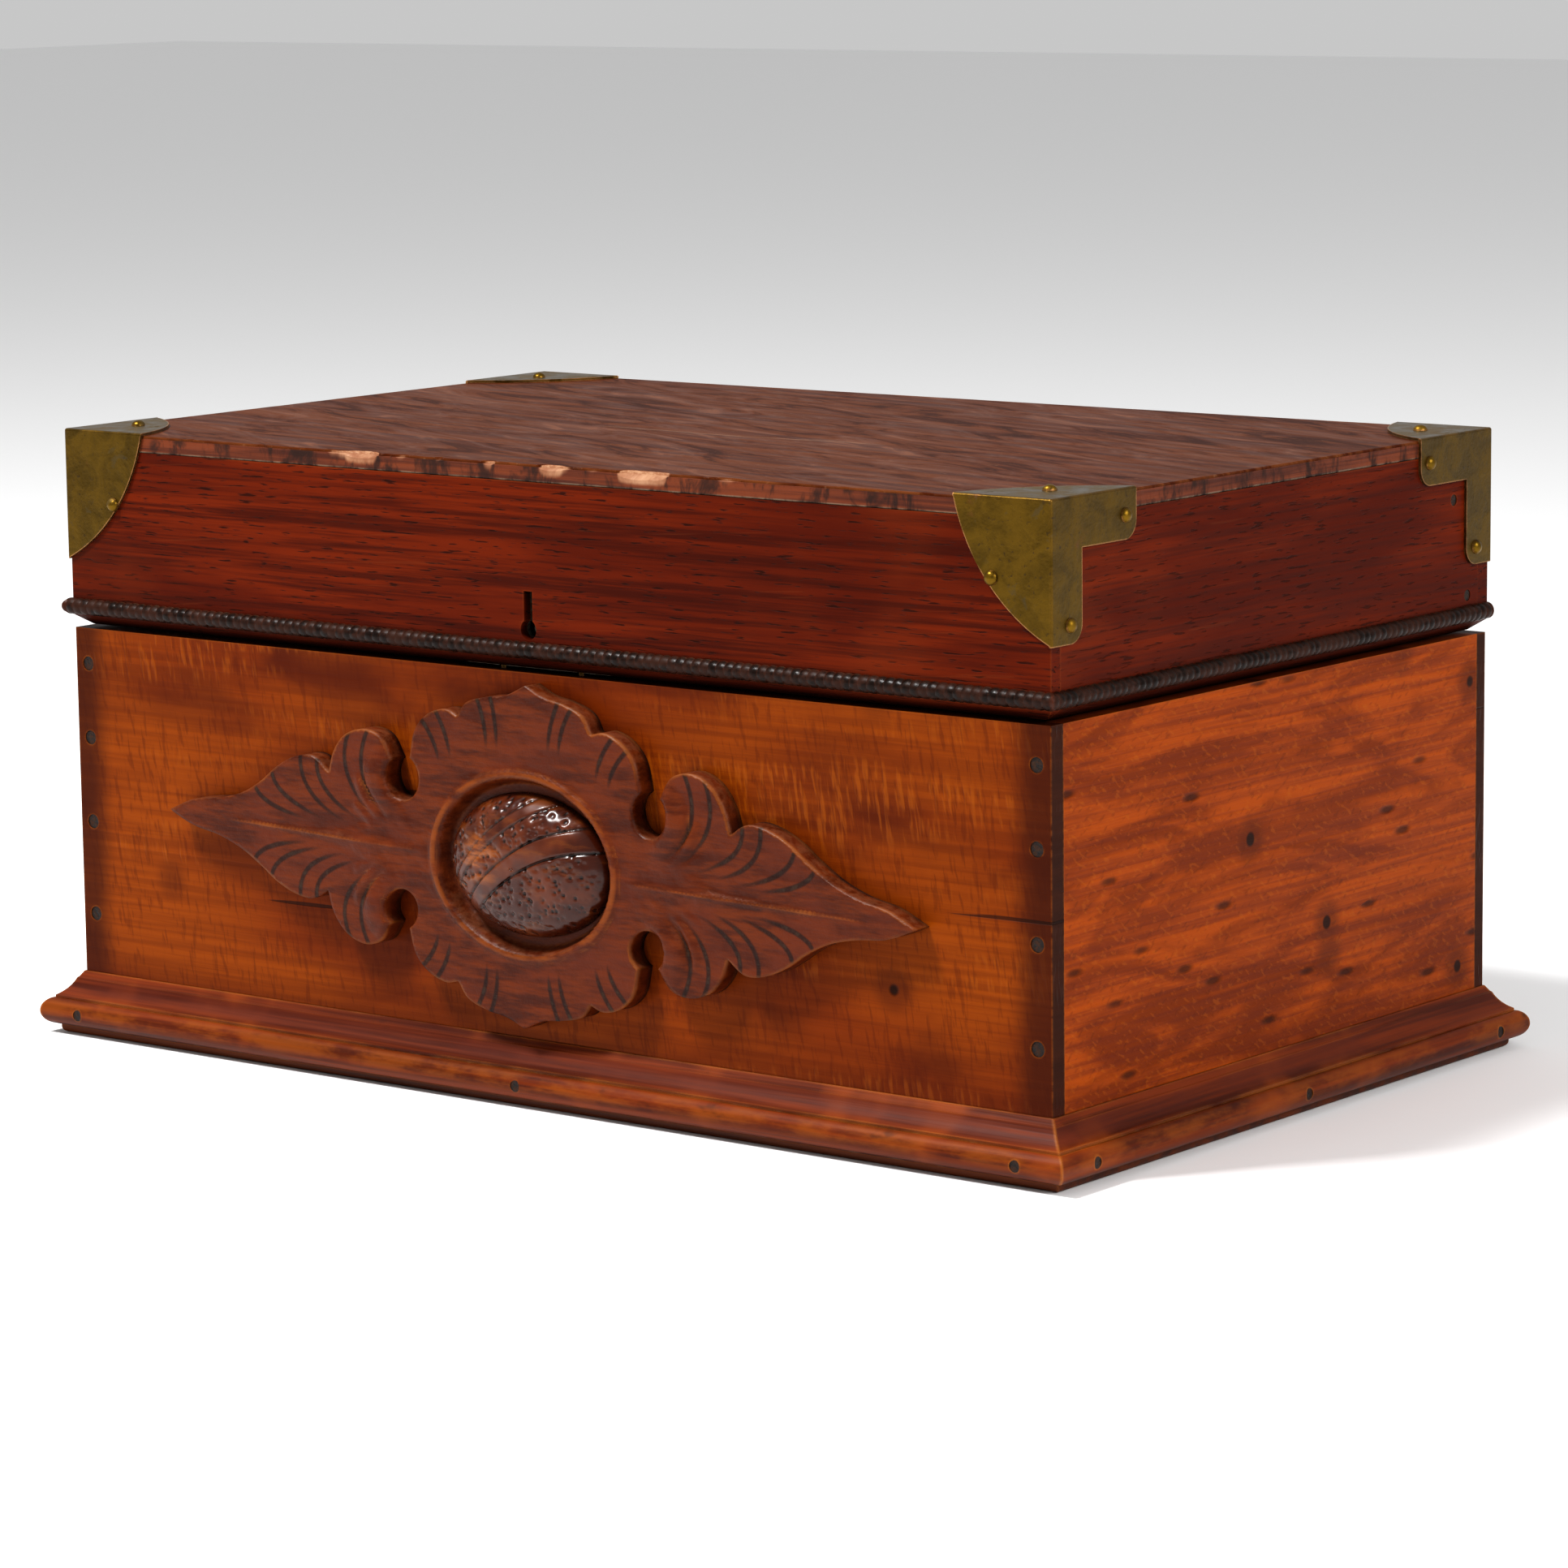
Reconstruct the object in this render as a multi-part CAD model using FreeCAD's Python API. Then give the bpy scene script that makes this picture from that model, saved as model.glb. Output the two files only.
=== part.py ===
"""Wooden jewelry box with a hinged lid, carved front ornament, brass corners, box lock and lift-out tray.

Frame: +X to the right, +Y to the back, +Z up.  The origin is the centre of the box's underside.
All sizes are in millimetres.
"""
import FreeCAD, Part
import math
import os

V = FreeCAD.Vector
os.makedirs("parts", exist_ok=True)

# ---- driving dimensions -------------------------------------------------------------------------
# case
CASE_W = 300.0            # width over the side boards
CASE_D = 183.0            # depth over the front and back boards
CASE_H = 103.5            # top edge of the case walls
WALL = 8.0                # thickness of every case and lid board
BASE_T = 9.0              # thickness of the base board
BASE_EDGE = 2.2           # height of the base board's edge below the moulding
BASE_OUT = 4.8            # how far that edge stands out from the walls
BASE_ROUND = 1.4          # rounding of the base board's lower edge
FRONT_LIP = 4.6           # front board left over the side boards' ends
BACK_LIP = 3.9            # back board left over the side boards' ends

# base moulding, as distances out from the walls and heights over the underside
MOULD_TOP = 15.6
BULLNOSE_R = 3.5
BULLNOSE_END = 68.0       # degrees above the level where the quirk cuts the bullnose off
BULLNOSE_OUT = 5.1        # centre of the bullnose
COVE_LOW = (5.7, 9.6)
COVE_MID = (3.3, 11.5)
COVE_HIGH = (1.75, 13.9)
COVE_EDGE = (0.4, 0.3)    # small bevel above the cove, in and up
MOULD_FILLET = 0.4        # width of the flat on top of the moulding

# lid
LID_GAP = 0.7             # between the case's top edge and the lid's lower edge
LID_OVER = 0.3            # how far the lid's faces stand out past the case's
LID_H = 44.5              # height of the lid's boards
LID_BEVEL_IN = 3.5        # bevel along the lid's lower outside edge
LID_BEVEL_UP = 2.6
LID_FRONT_LIP = 3.5
LID_BACK_LIP = 4.5
TOP_BOARD_T = 3.6
VENEER_T = 0.6

# ribbed bead moulding round the lid
BEAD_R = 1.85             # radius in the valleys between ribs
RIB_H = 0.25              # height of a rib over the valleys
RIB_PITCH = 2.4

# brass corners and their pins
BRASS_T = 0.7
BRASS_WIDE = 26.0         # along the front and back
BRASS_LONG = 32.0         # along the sides and down the corner
BRASS_ARM = 11.0          # width of the side plate's arms
BRASS_BULGE = 5.0         # how far the curved edges stand out from their chords
BRASS_ROUND = 0.6         # rounding of the bent edges
BRASS_ARM_ROUND = 4.4     # rounding of the arms' free corners
PIN_HEAD_R = 1.75
PIN_HEAD_H = 1.3
PIN_SHANK_R = 0.75
PIN_SHANK_L = 4.0
PIN_FRONT = (15.6, 17.6)  # pins of the front and top plates, in from the lid's corner along both edges
PIN_TOP = (10.4, 14.4)
PIN_ARM_RUN = 27.8        # pins of the side plate's arms, along each arm
PIN_ARM_SHIFT = 1.0       # the lower pin stands this far off its arm's middle

# nails
NAIL_HEAD_R = 1.8
NAIL_HEAD_L = 2.0
NAIL_SHANK_R = 0.9
NAIL_SHANK_L = 22.0
NAIL_SUNK = 0.2
NAIL_HEIGHTS = (30.7, 54.3, 75.7, 94.5)
BRAD_HEAD_R = 1.4
BRAD_HEAD_L = 1.2
BRAD_SHANK_R = 0.7
BRAD_SHANK_L = 11.0
BRAD_END = 4.5            # end brads of the front and back mouldings, in from the walls' corners
BRAD_SIDE_END = 5.2       # the same for the side mouldings
LID_NAIL_SPOTS = ((15.8, 33.1), (9.3, 9.3))     # in from the lid's back face, up from its lower edge

# carved ornament, in its own plane: u to the right and v up from its middle
ORN_X = 1.5
ORN_Z = 58.2
ORN_TILT = -1.5           # degrees
ORN_T = 5.7               # thickness in the middle
ORN_TIP_T = 4.2           # height of the ridge at the leaf tips
ORN_ROOF = 0.22           # fall of the leaf faces away from the ridge, at the tips
ORN_ROOF_START = 42.0     # where the leaf faces begin to fall
ORN_TIP_U = 114.8
DISH_A = 27.0             # half width and half height of the dish at its mouth
DISH_B = 21.0
DISH_FLOOR = 2.0          # height of the dish's floor over the board
DISH_SLOPE = 1.6          # how far the dish's wall runs in at the floor
DISH_FLARE = 0.3          # how far it runs out at the rim
RIM_W = 1.6
RIM_H = 0.7
NUT_A = 24.3
NUT_B = 17.2
NUT_TOP = 10.4            # height of the nut over the board
EYE_U = 38.0              # centre of the four round notches
EYE_V = 16.2
EYE_R = 5.3
# one quarter of the outline, from the leaf's tip to the shell's point; a cusp ends each run
LEAF_RUN = ((107.0, 3.3), (98.5, 4.7), (91.0, 7.0), (84.5, 10.5), (79.0, 14.3), (73.0, 17.0), (67.0, 17.6))
LEAF_CUSP = (61.9, 14.5)
LOBE_RUN = ((60.0, 20.0), (56.2, 24.4), (50.5, 26.4), (45.0, 25.0))
LOBE_END = (41.6, 20.1)
SHELL_START = (35.4, 20.8)
SHELL_RUN = ((33.6, 27.5), (29.5, 31.6), (24.5, 33.2))
SHELL_CUSP = (20.5, 32.2)
FAN_RUN = ((17.5, 36.0), (11.5, 37.9), (5.5, 38.9))
SHELL_POINT_V = 41.3
# veins of one quarter: start, middle and end of each gouge cut
VEIN_W = 1.1
VEIN_DEEP = 0.9
VEINS = (
    ((84.0, 9.5), (78.5, 5.6), (69.5, 4.0)),
    ((72.0, 14.8), (67.3, 7.3), (57.5, 3.2)),
    ((67.5, 16.6), (63.8, 9.3), (51.5, 4.0)),
    ((52.5, 24.0), (53.6, 16.5), (47.5, 7.0)),
    ((45.6, 22.4), (47.4, 15.0), (42.5, 7.6)),
    ((31.0, 27.0), (27.4, 24.2), (25.5, 20.0)),
    ((25.0, 30.2), (21.8, 25.4), (20.5, 20.0)),
    ((13.0, 36.0), (12.2, 30.0), (13.0, 24.5)),
    ((9.5, 37.0), (8.9, 31.0), (9.6, 25.2)),
)

# hinges
HINGE_X = 95.0            # centre of each hinge from the middle
HINGE_L = 38.0
LEAF_T = 0.9
LEAF_CLEAR = 0.8          # wood left between a leaf and the inside face
KNUCKLE_R = 2.0
KNUCKLES = 5
KNUCKLE_GAP = 0.3         # between neighbouring knuckles, and between knuckles and the lid's back
HINGE_PIN_R = 0.9
HINGE_RUN = 0.05          # radial running clearance of the upper knuckles
HINGE_SCREW_SPAN = 13.0
HINGE_SCREW_IN = 5.2      # screw line in from the back face
SCREW_HEAD_R = 1.7
SCREW_R = 0.8
SCREW_L = 7.0

# keyhole and lock, in the lid's front board
KEY_UP = 9.6              # centre of the keyhole's round end over the lid's lower edge
KEY_R = 2.4
KEY_SLOT_W = 2.6
KEY_SLOT_TOP = 9.1        # top of the slot over the round end's centre
LOCK_W = 44.0             # lock box
LOCK_H = 24.0
LOCK_FLANGE = 5.0         # plate left beyond the box for its screws
LOCK_PLATE_T = 1.0
LOCK_ROOM = 3.6           # depth of the room inside the lock
KEY_POST_R = 1.0
BOLT_T = 3.0
BOLT_BAR_H = 5.0
BOLT_LEG_W = 2.4
BOLT_BAR_UP = 1.2         # bar's lower edge over the keyhole's round end
BOLT_THROW = 3.0
LOCK_FIT = 0.4            # clearance round prongs in their staples, and staples in their slots
PRONG_L = BOLT_THROW + LOCK_FIT
PRONG_T = 1.2
PRONG_H = 2.2
PRONG_GAP = 1.0           # between a prong's tip and its staple when unlocked
LOCK_SCREW_L = 5.5
LOCK_SCREW_UP = 3.0       # lower screws over the lid's bevel
STAPLE_XS = (-11.0, 13.0)
STAPLE_T = 1.4            # along X
STAPLE_W = 3.2            # along Y
STAPLE_H = 6.4            # over the case's top edge
STAPLE_EYE_UP = 0.4       # middle of a staple's eye over the middle of its height
LINK_T = 1.2
LINK_W = 5.4
LINK_L = 52.0
LINK_SCREW_IN = 4.0       # screws in from the plate's ends

# tray and linings
TRAY_GAP = 0.8            # all round, inside the case
TRAY_H = 34.0
TRAY_T = 5.0
TRAY_BOTTOM_T = 3.0
TRAY_DROP = 5.0           # tray's top edge below the case's
TRAY_LONG_Y = 14.0        # face of the long divider
DIVIDER_T = 3.0
DIVIDER_DROP = 4.0        # dividers' top edges below the tray's
FRONT_CELLS = 4
BACK_CELLS = 2
LEDGER = 6.0
PAD_T = 3.0
PAD_ROUND = 1.2
PAD_CLEAR = 0.3
KNOB_X = 61.0             # knobs on the long divider, from the middle
KNOB_R = 3.6
KNOB_H = 8.0
KNOB_STEM_R = 0.8
KNOB_STEM_L = 6.0         # let into the divider

# ---- worked-out places --------------------------------------------------------------------------
HALF_W = CASE_W / 2
HALF_D = CASE_D / 2
LID_Z = CASE_H + LID_GAP
LID_HALF_W = HALF_W + LID_OVER
LID_HALF_D = HALF_D + LID_OVER
TOP_BOARD_Z = LID_Z + LID_H
VENEER_Z = TOP_BOARD_Z + TOP_BOARD_T
LID_TOP = VENEER_Z + VENEER_T
IN_W = HALF_W - WALL
IN_D = HALF_D - WALL
BEAD_Z = LID_Z + LID_BEVEL_UP + BEAD_R + RIB_H
HINGE_Y = LID_HALF_D + KNUCKLE_R + KNUCKLE_GAP
HINGE_Z = CASE_H + LID_GAP / 2
LEAF_IN = LID_HALF_D - WALL + LEAF_CLEAR
HINGE_SCREW_Y = LID_HALF_D - HINGE_SCREW_IN
KEY_Z = LID_Z + KEY_UP
LOCK_BACK = -LID_HALF_D + WALL                       # inside face of the lid's front board
LOCK_ROOM_BACK = LOCK_BACK - LOCK_PLATE_T
LOCK_ROOM_FRONT = LOCK_ROOM_BACK - LOCK_ROOM
LOCK_FRONT = LOCK_ROOM_FRONT - LOCK_PLATE_T
LOCK_MID = (LOCK_ROOM_BACK + LOCK_ROOM_FRONT) / 2
LOCK_TOP = LID_Z + LOCK_H
PRONG_Z = CASE_H + STAPLE_H / 2 + STAPLE_EYE_UP
TRAY_TOP = CASE_H - TRAY_DROP
TRAY_Z = TRAY_TOP - TRAY_H
TRAY_W = IN_W - TRAY_GAP
TRAY_D = IN_D - TRAY_GAP


# ---- shape helpers ------------------------------------------------------------------------------
def block(x0, x1, y0, y1, z0, z1):
    """A rectangular block between two opposite corners."""
    return Part.makeBox(x1 - x0, y1 - y0, z1 - z0, V(x0, y0, z0))


def rod(base, direction, radius, length):
    """A round rod from a point along a direction."""
    return Part.makeCylinder(radius, length, V(*base), V(*direction))


def group(solids):
    """Separate like pieces kept together as one node."""
    return Part.makeCompound(solids)


def arc(a, b, c):
    """An arc through three points."""
    return Part.Arc(a, b, c).toShape()


def line(a, b):
    return Part.makeLine(a, b)


def save(shape, node):
    shape.exportStep("parts/%s.step" % node)


def drilled(shape, tools):
    """A shape with every tool cut out of it."""
    return shape.cut(Part.makeCompound(tools)) if tools else shape


def nail(point, direction, head_r, head_l, shank_r, shank_l):
    """A nail whose head's outer face is at the point, driven along the direction."""
    head = rod(point, direction, head_r, head_l)
    neck = V(*point) + V(*direction) * head_l
    return head.fuse(rod(neck, direction, shank_r, shank_l - head_l))


def nail_hole(point, direction, head_r, head_l, shank_r, shank_l):
    """The hole a sunk nail leaves, open to the surface."""
    mouth = V(*point) - V(*direction) * 1.0
    return nail(point, direction, head_r, head_l, shank_r, shank_l).fuse(
        rod(mouth, direction, head_r, head_l + 1.0))


def screw(point, direction, length=SCREW_L):
    """A countersunk screw whose head is flush at the point."""
    d = V(*direction)
    drop = SCREW_HEAD_R - SCREW_R
    head = Part.makeCone(SCREW_HEAD_R, SCREW_R, drop, V(*point), d)
    return head.fuse(rod(V(*point) + d * drop, direction, SCREW_R, length - drop))


# ---- case ---------------------------------------------------------------------------------------
def end_boards(half_w, half_d, z0, z1, front_lip, back_lip):
    """Front and back boards of a box, rabbeted at both ends, and the side boards between them."""
    front = block(-half_w, half_w, -half_d, -half_d + WALL, z0, z1)
    back = block(-half_w, half_w, half_d - WALL, half_d, z0, z1)
    sides = []
    for s in (-1, 1):
        x0, x1 = sorted((s * half_w, s * (half_w - WALL)))
        side = block(x0, x1, -half_d + front_lip, half_d - back_lip, z0, z1)
        front = front.cut(side)
        back = back.cut(side)
        sides.append(side)
    return front, back, sides[0], sides[1]


def base_board():
    """Floor of the case: its lower edge stands out under the moulding and is rounded."""
    edge = block(-HALF_W - BASE_OUT, HALF_W + BASE_OUT, -HALF_D - BASE_OUT, HALF_D + BASE_OUT, 0, BASE_EDGE)
    low = [e for e in edge.Edges if e.BoundBox.ZMax < 0.01]
    edge = edge.makeFillet(BASE_ROUND, low)
    return edge.fuse(block(-HALF_W, HALF_W, -HALF_D, HALF_D, BASE_EDGE, BASE_T)).removeSplitter()


def mould_profile():
    """Base moulding's section: bullnose below, quirk, cove and a narrow top flat, as (out, height)."""
    end = math.radians(BULLNOSE_END)
    nose_z = BASE_EDGE + BULLNOSE_R
    nose_end = (BULLNOSE_OUT + BULLNOSE_R * math.cos(end), nose_z + BULLNOSE_R * math.sin(end))
    quirk = (COVE_LOW[0], nose_end[1])
    rise = (COVE_HIGH[0] - COVE_EDGE[0], COVE_HIGH[1] + COVE_EDGE[1])
    p = [V(0, a, b) for a, b in (
        (0, BASE_EDGE), (BULLNOSE_OUT, BASE_EDGE), (BULLNOSE_OUT + BULLNOSE_R, nose_z), nose_end, quirk,
        COVE_LOW, COVE_MID, COVE_HIGH, rise, (MOULD_FILLET, MOULD_TOP), (0, MOULD_TOP))]
    return Part.Wire([
        line(p[0], p[1]), arc(p[1], p[2], p[3]), line(p[3], p[4]), line(p[4], p[5]),
        arc(p[5], p[6], p[7]), line(p[7], p[8]), line(p[8], p[9]), line(p[9], p[10]), line(p[10], p[0])])


def mitred_length(section, half_run, face_at, out, left=True, right=True):
    """A moulding length along X on the front face at Y = -face_at, mitred where it turns a corner.

    The section stands out towards -Y; `out` is more than its whole width."""
    run = half_run + out
    face = Part.Face(section)
    body = face.extrude(V(2 * run, 0, 0))
    body.translate(V(-run, 0, 0))
    body = body.mirror(V(0, 0, 0), V(0, 1, 0))
    low = body.BoundBox.ZMin - 1
    high = body.BoundBox.ZMax + 1
    for s, mitre in ((-1, left), (1, right)):
        far = s * (run + 1)
        if mitre:
            cut = [V(s * (half_run - 1), 1, low), V(far, 1, low), V(far, -run + half_run - 1, low)]
            wedge = Part.Face(Part.makePolygon(cut + cut[:1])).extrude(V(0, 0, high - low))
        else:
            x0, x1 = sorted((s * half_run, far))
            wedge = block(x0, x1, -out - 1, 1, low, high)
        body = body.cut(wedge)
    body.translate(V(0, -face_at, 0))
    return body


def turned(shape, quarter_turns):
    """A copy turned about the Z axis by right angles."""
    copy = shape.copy()
    copy.rotate(V(0, 0, 0), V(0, 0, 1), 90.0 * quarter_turns)
    return copy


def case_nails():
    """Nails through the front and back boards' lips into the side boards, as (point, direction)."""
    spots = []
    for s in (-1, 1):
        for z in NAIL_HEIGHTS:
            x = s * (HALF_W - WALL / 2)
            spots.append(((x, -HALF_D + NAIL_SUNK, z), (0, 1, 0)))
            spots.append(((x, HALF_D - NAIL_SUNK, z), (0, -1, 0)))
    return spots


def brad_spots():
    """Brads through the bullnose into the base board: three on each side of the box."""
    out = BULLNOSE_OUT + BULLNOSE_R - NAIL_SUNK
    z = BASE_EDGE + BULLNOSE_R
    spots = []
    for s in (-1, 1):
        for x in (-HALF_W + BRAD_END, 0.0, HALF_W - BRAD_END):
            spots.append(((x, s * (HALF_D + out), z), (0, -s, 0)))
        for y in (-HALF_D + BRAD_SIDE_END, 0.0, HALF_D - BRAD_SIDE_END):
            spots.append(((s * (HALF_W + out), y, z), (-s, 0, 0)))
    return spots


CASE_NAIL = (NAIL_HEAD_R, NAIL_HEAD_L, NAIL_SHANK_R, NAIL_SHANK_L)
BRAD = (BRAD_HEAD_R, BRAD_HEAD_L, BRAD_SHANK_R, BRAD_SHANK_L)


# ---- ornament -----------------------------------------------------------------------------------
def on_front(u, v, proud):
    """A point of the ornament's own plane, standing proud of the case's front board."""
    t = math.radians(ORN_TILT)
    x = ORN_X + u * math.cos(t) - v * math.sin(t)
    z = ORN_Z + u * math.sin(t) + v * math.cos(t)
    return V(x, -HALF_D - proud, z)


def smooth(points, proud):
    """A smooth edge through points of the ornament's plane."""
    curve = Part.BSplineCurve()
    curve.interpolate([on_front(u, v, proud) for u, v in points])
    return curve.toShape()


def eye_arc(proud, su, sv):
    """Arc round a notch, from the lobe's end round the inside to the shell's start."""
    a = math.atan2(LOBE_END[1] - EYE_V, LOBE_END[0] - EYE_U)
    b = math.atan2(SHELL_START[1] - EYE_V, SHELL_START[0] - EYE_U) - 2 * math.pi
    mid = (a + b) / 2
    p = (EYE_U + EYE_R * math.cos(mid), EYE_V + EYE_R * math.sin(mid))
    return [on_front(su * LOBE_END[0], sv * LOBE_END[1], proud), on_front(su * p[0], sv * p[1], proud),
            on_front(su * SHELL_START[0], sv * SHELL_START[1], proud)]


def outline_quarter(proud, su, sv):
    """Edges of one quarter of the outline, mirrored by the two signs."""
    def flip(points):
        return [(su * u, sv * v) for u, v in points]
    runs = [
        ((ORN_TIP_U, 0.0),) + LEAF_RUN + (LEAF_CUSP,),
        (LEAF_CUSP,) + LOBE_RUN + (LOBE_END,),
        (SHELL_START,) + SHELL_RUN + (SHELL_CUSP,),
        (SHELL_CUSP,) + FAN_RUN + ((0.0, SHELL_POINT_V),)]
    edges = [smooth(flip(run), proud) for run in runs]
    return edges + [arc(*eye_arc(proud, su, sv))]


def ornament_blank():
    """The sawn outline, as thick as the ornament."""
    edges = []
    for su in (1, -1):
        for sv in (1, -1):
            edges += outline_quarter(0.0, su, sv)
    wire = Part.Wire(Part.__sortEdges__(edges))
    return Part.Face(wire).extrude(V(0, -ORN_T, 0))


def leaf_roof(su):
    """What is kept of a leaf: its faces fall from the ridge, more so towards the tip."""
    def section(u, ridge, fall):
        far = ORN_TIP_U / 2
        edge = ridge - fall * far
        points = [(-far, -1.0), (-far, max(edge, -0.5)), (0, ridge), (far, max(edge, -0.5)), (far, -1.0)]
        return Part.makePolygon([on_front(su * u, v, h) for v, h in points + points[:1]])
    start = section(ORN_ROOF_START, ORN_T, 0.0)
    middle = section((ORN_ROOF_START + ORN_TIP_U) / 2, (ORN_T + ORN_TIP_T) / 2, ORN_ROOF * 0.3)
    end = section(ORN_TIP_U + 1, ORN_TIP_T, ORN_ROOF)
    return Part.makeLoft([start, middle, end], True, True)


def ellipse_wire(a, b, proud):
    """An ellipse about the ornament's middle, in a plane parallel to the front board."""
    ellipse = Part.Ellipse(V(0, 0, 0), a, b)
    wire = Part.Wire([ellipse.toShape()])
    wire.rotate(V(0, 0, 0), V(1, 0, 0), 90)
    wire.rotate(V(0, 0, 0), V(0, 1, 0), -ORN_TILT)
    wire.translate(on_front(0, 0, proud))
    return wire


def vein(points, su, sv):
    """A gouge cut: a crescent between two arcs that share their ends."""
    a, m, b = [V(su * p[0], sv * p[1], 0) for p in points]
    chord = b - a
    side = V(-chord.y, chord.x, 0).normalize()
    if (m - a).dot(side) < 0:
        side = side * -1
    outer = m + side * (VEIN_W / 2)
    inner = m - side * (VEIN_W / 2)
    a, b, outer, inner = [on_front(p.x, p.y, ORN_T + 0.5) for p in (a, b, outer, inner)]
    face = Part.Face(Part.Wire([arc(a, outer, b), arc(b, inner, a)]))
    return face.extrude(V(0, 0.5 + VEIN_DEEP, 0))


def carved_ornament():
    """Leaves, lobes and shells in low relief round an oval dish with a raised rim."""
    blank = ornament_blank()
    middle = block(ORN_X - ORN_ROOF_START, ORN_X + ORN_ROOF_START, -HALF_D - ORN_T, -HALF_D,
                   ORN_Z - CASE_H, ORN_Z + CASE_H)
    middle.rotate(on_front(0, 0, 0), V(0, 1, 0), -ORN_TILT)
    body = blank.common(middle)
    for su in (-1, 1):
        body = body.fuse(blank.common(leaf_roof(su)))
    cuts = [vein(v, su, sv) for v in VEINS for su in (-1, 1) for sv in (-1, 1)]
    body = body.cut(Part.makeCompound(cuts))
    rim = Part.Face(ellipse_wire(DISH_A + RIM_W, DISH_B + RIM_W, ORN_T)).extrude(V(0, -RIM_H, 0))
    body = body.fuse(rim)
    dish = Part.makeLoft([
        ellipse_wire(DISH_A - DISH_SLOPE, DISH_B - DISH_SLOPE, DISH_FLOOR),
        ellipse_wire(DISH_A + DISH_FLARE, DISH_B + DISH_FLARE, ORN_T + RIM_H)], True, True)
    over = Part.Face(ellipse_wire(DISH_A + DISH_FLARE, DISH_B + DISH_FLARE, ORN_T + RIM_H)).extrude(V(0, -1, 0))
    return body.cut(dish).cut(over).removeSplitter()


def carved_nut():
    """The upper half of an egg shape that stands on the dish's floor."""
    height = NUT_TOP - DISH_FLOOR
    ball = Part.makeSphere(1.0, V(0, 0, 0), V(0, 0, 1), 0, 90, 360)
    m = FreeCAD.Matrix()
    m.scale(V(NUT_A, NUT_B, height))
    egg = ball.transformGeometry(m)
    egg.rotate(V(0, 0, 0), V(1, 0, 0), 90)
    egg.rotate(V(0, 0, 0), V(0, 1, 0), -ORN_TILT)
    egg.translate(on_front(0, 0, DISH_FLOOR))
    return egg


# ---- lid ----------------------------------------------------------------------------------------
def lid_bevel():
    """What the bevel takes off the lid's lower outside edge, all the way round."""
    outer = block(-LID_HALF_W - 1, LID_HALF_W + 1, -LID_HALF_D - 1, LID_HALF_D + 1, LID_Z - 1,
                  LID_Z + LID_BEVEL_UP)
    k = LID_BEVEL_IN / LID_BEVEL_UP
    def ring(z):
        inset = LID_BEVEL_IN - (z - LID_Z) * k
        x = LID_HALF_W - inset
        y = LID_HALF_D - inset
        return Part.makePolygon([V(-x, -y, z), V(x, -y, z), V(x, y, z), V(-x, y, z), V(-x, -y, z)])
    kept = Part.makeLoft([ring(LID_Z - 1), ring(LID_Z + LID_BEVEL_UP)], True, True)
    return outer.cut(kept)


def keyhole(y0, y1):
    """Keyhole cut along Y: round end below, slot above."""
    hole = rod((0, y0, KEY_Z), (0, 1, 0), KEY_R, y1 - y0)
    return hole.fuse(block(-KEY_SLOT_W / 2, KEY_SLOT_W / 2, y0, y1, KEY_Z, KEY_Z + KEY_SLOT_TOP))


def lid_nails():
    """Nails driven into the lid's side boards near the back."""
    spots = []
    for s in (-1, 1):
        for back, up in LID_NAIL_SPOTS:
            spots.append(((s * (LID_HALF_W - NAIL_SUNK), LID_HALF_D - back, LID_Z + up), (-s, 0, 0)))
    return spots


LID_NAIL = (BRAD_HEAD_R, BRAD_HEAD_L, BRAD_SHANK_R, WALL - 1.0)


def bead_length(half_run, left, right, face_at):
    """Half-round moulding with a rib every pitch, as if turned and split, on the front face."""
    radius = BEAD_R + RIB_H
    count = int(math.ceil((half_run + radius) / RIB_PITCH))
    edges = []
    for i in range(-count, count):
        x0 = i * RIB_PITCH
        edges.append(arc(V(x0, -BEAD_R, 0), V(x0 + RIB_PITCH / 2, -radius, 0), V(x0 + RIB_PITCH, -BEAD_R, 0)))
    end = count * RIB_PITCH
    edges += [line(V(end, -BEAD_R, 0), V(end, 0, 0)), line(V(end, 0, 0), V(-end, 0, 0)),
              line(V(-end, 0, 0), V(-end, -BEAD_R, 0))]
    body = Part.Face(Part.Wire(edges)).revolve(V(0, 0, 0), V(1, 0, 0), 180)
    body.rotate(V(0, 0, 0), V(1, 0, 0), -90)
    for s, mitre in ((-1, left), (1, right)):
        far = s * (end + 1)
        if mitre:
            cut = [V(s * (half_run - 1), 1, -radius - 1), V(far, 1, -radius - 1),
                   V(far, -abs(far) + half_run, -radius - 1)]
            wedge = Part.Face(Part.makePolygon(cut + cut[:1])).extrude(V(0, 0, 2 * radius + 2))
        else:
            x0, x1 = sorted((s * half_run, far))
            wedge = block(x0, x1, -radius - 1, 1, -radius - 1, radius + 1)
        body = body.cut(wedge)
    body.translate(V(0, -face_at, BEAD_Z))
    return body


# ---- brass corners ------------------------------------------------------------------------------
def curved_plate(wide, long):
    """Plate in the XY plane with its corner at the origin: two straight edges and a bulged third."""
    a = V(wide, 0, 0)
    b = V(0, long, 0)
    chord = math.hypot(wide, long)
    mid = V(wide / 2 + BRASS_BULGE * long / chord, long / 2 + BRASS_BULGE * wide / chord, 0)
    return Part.Face(Part.Wire([line(V(0, 0, 0), a), arc(a, mid, b), line(b, V(0, 0, 0))]))


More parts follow.
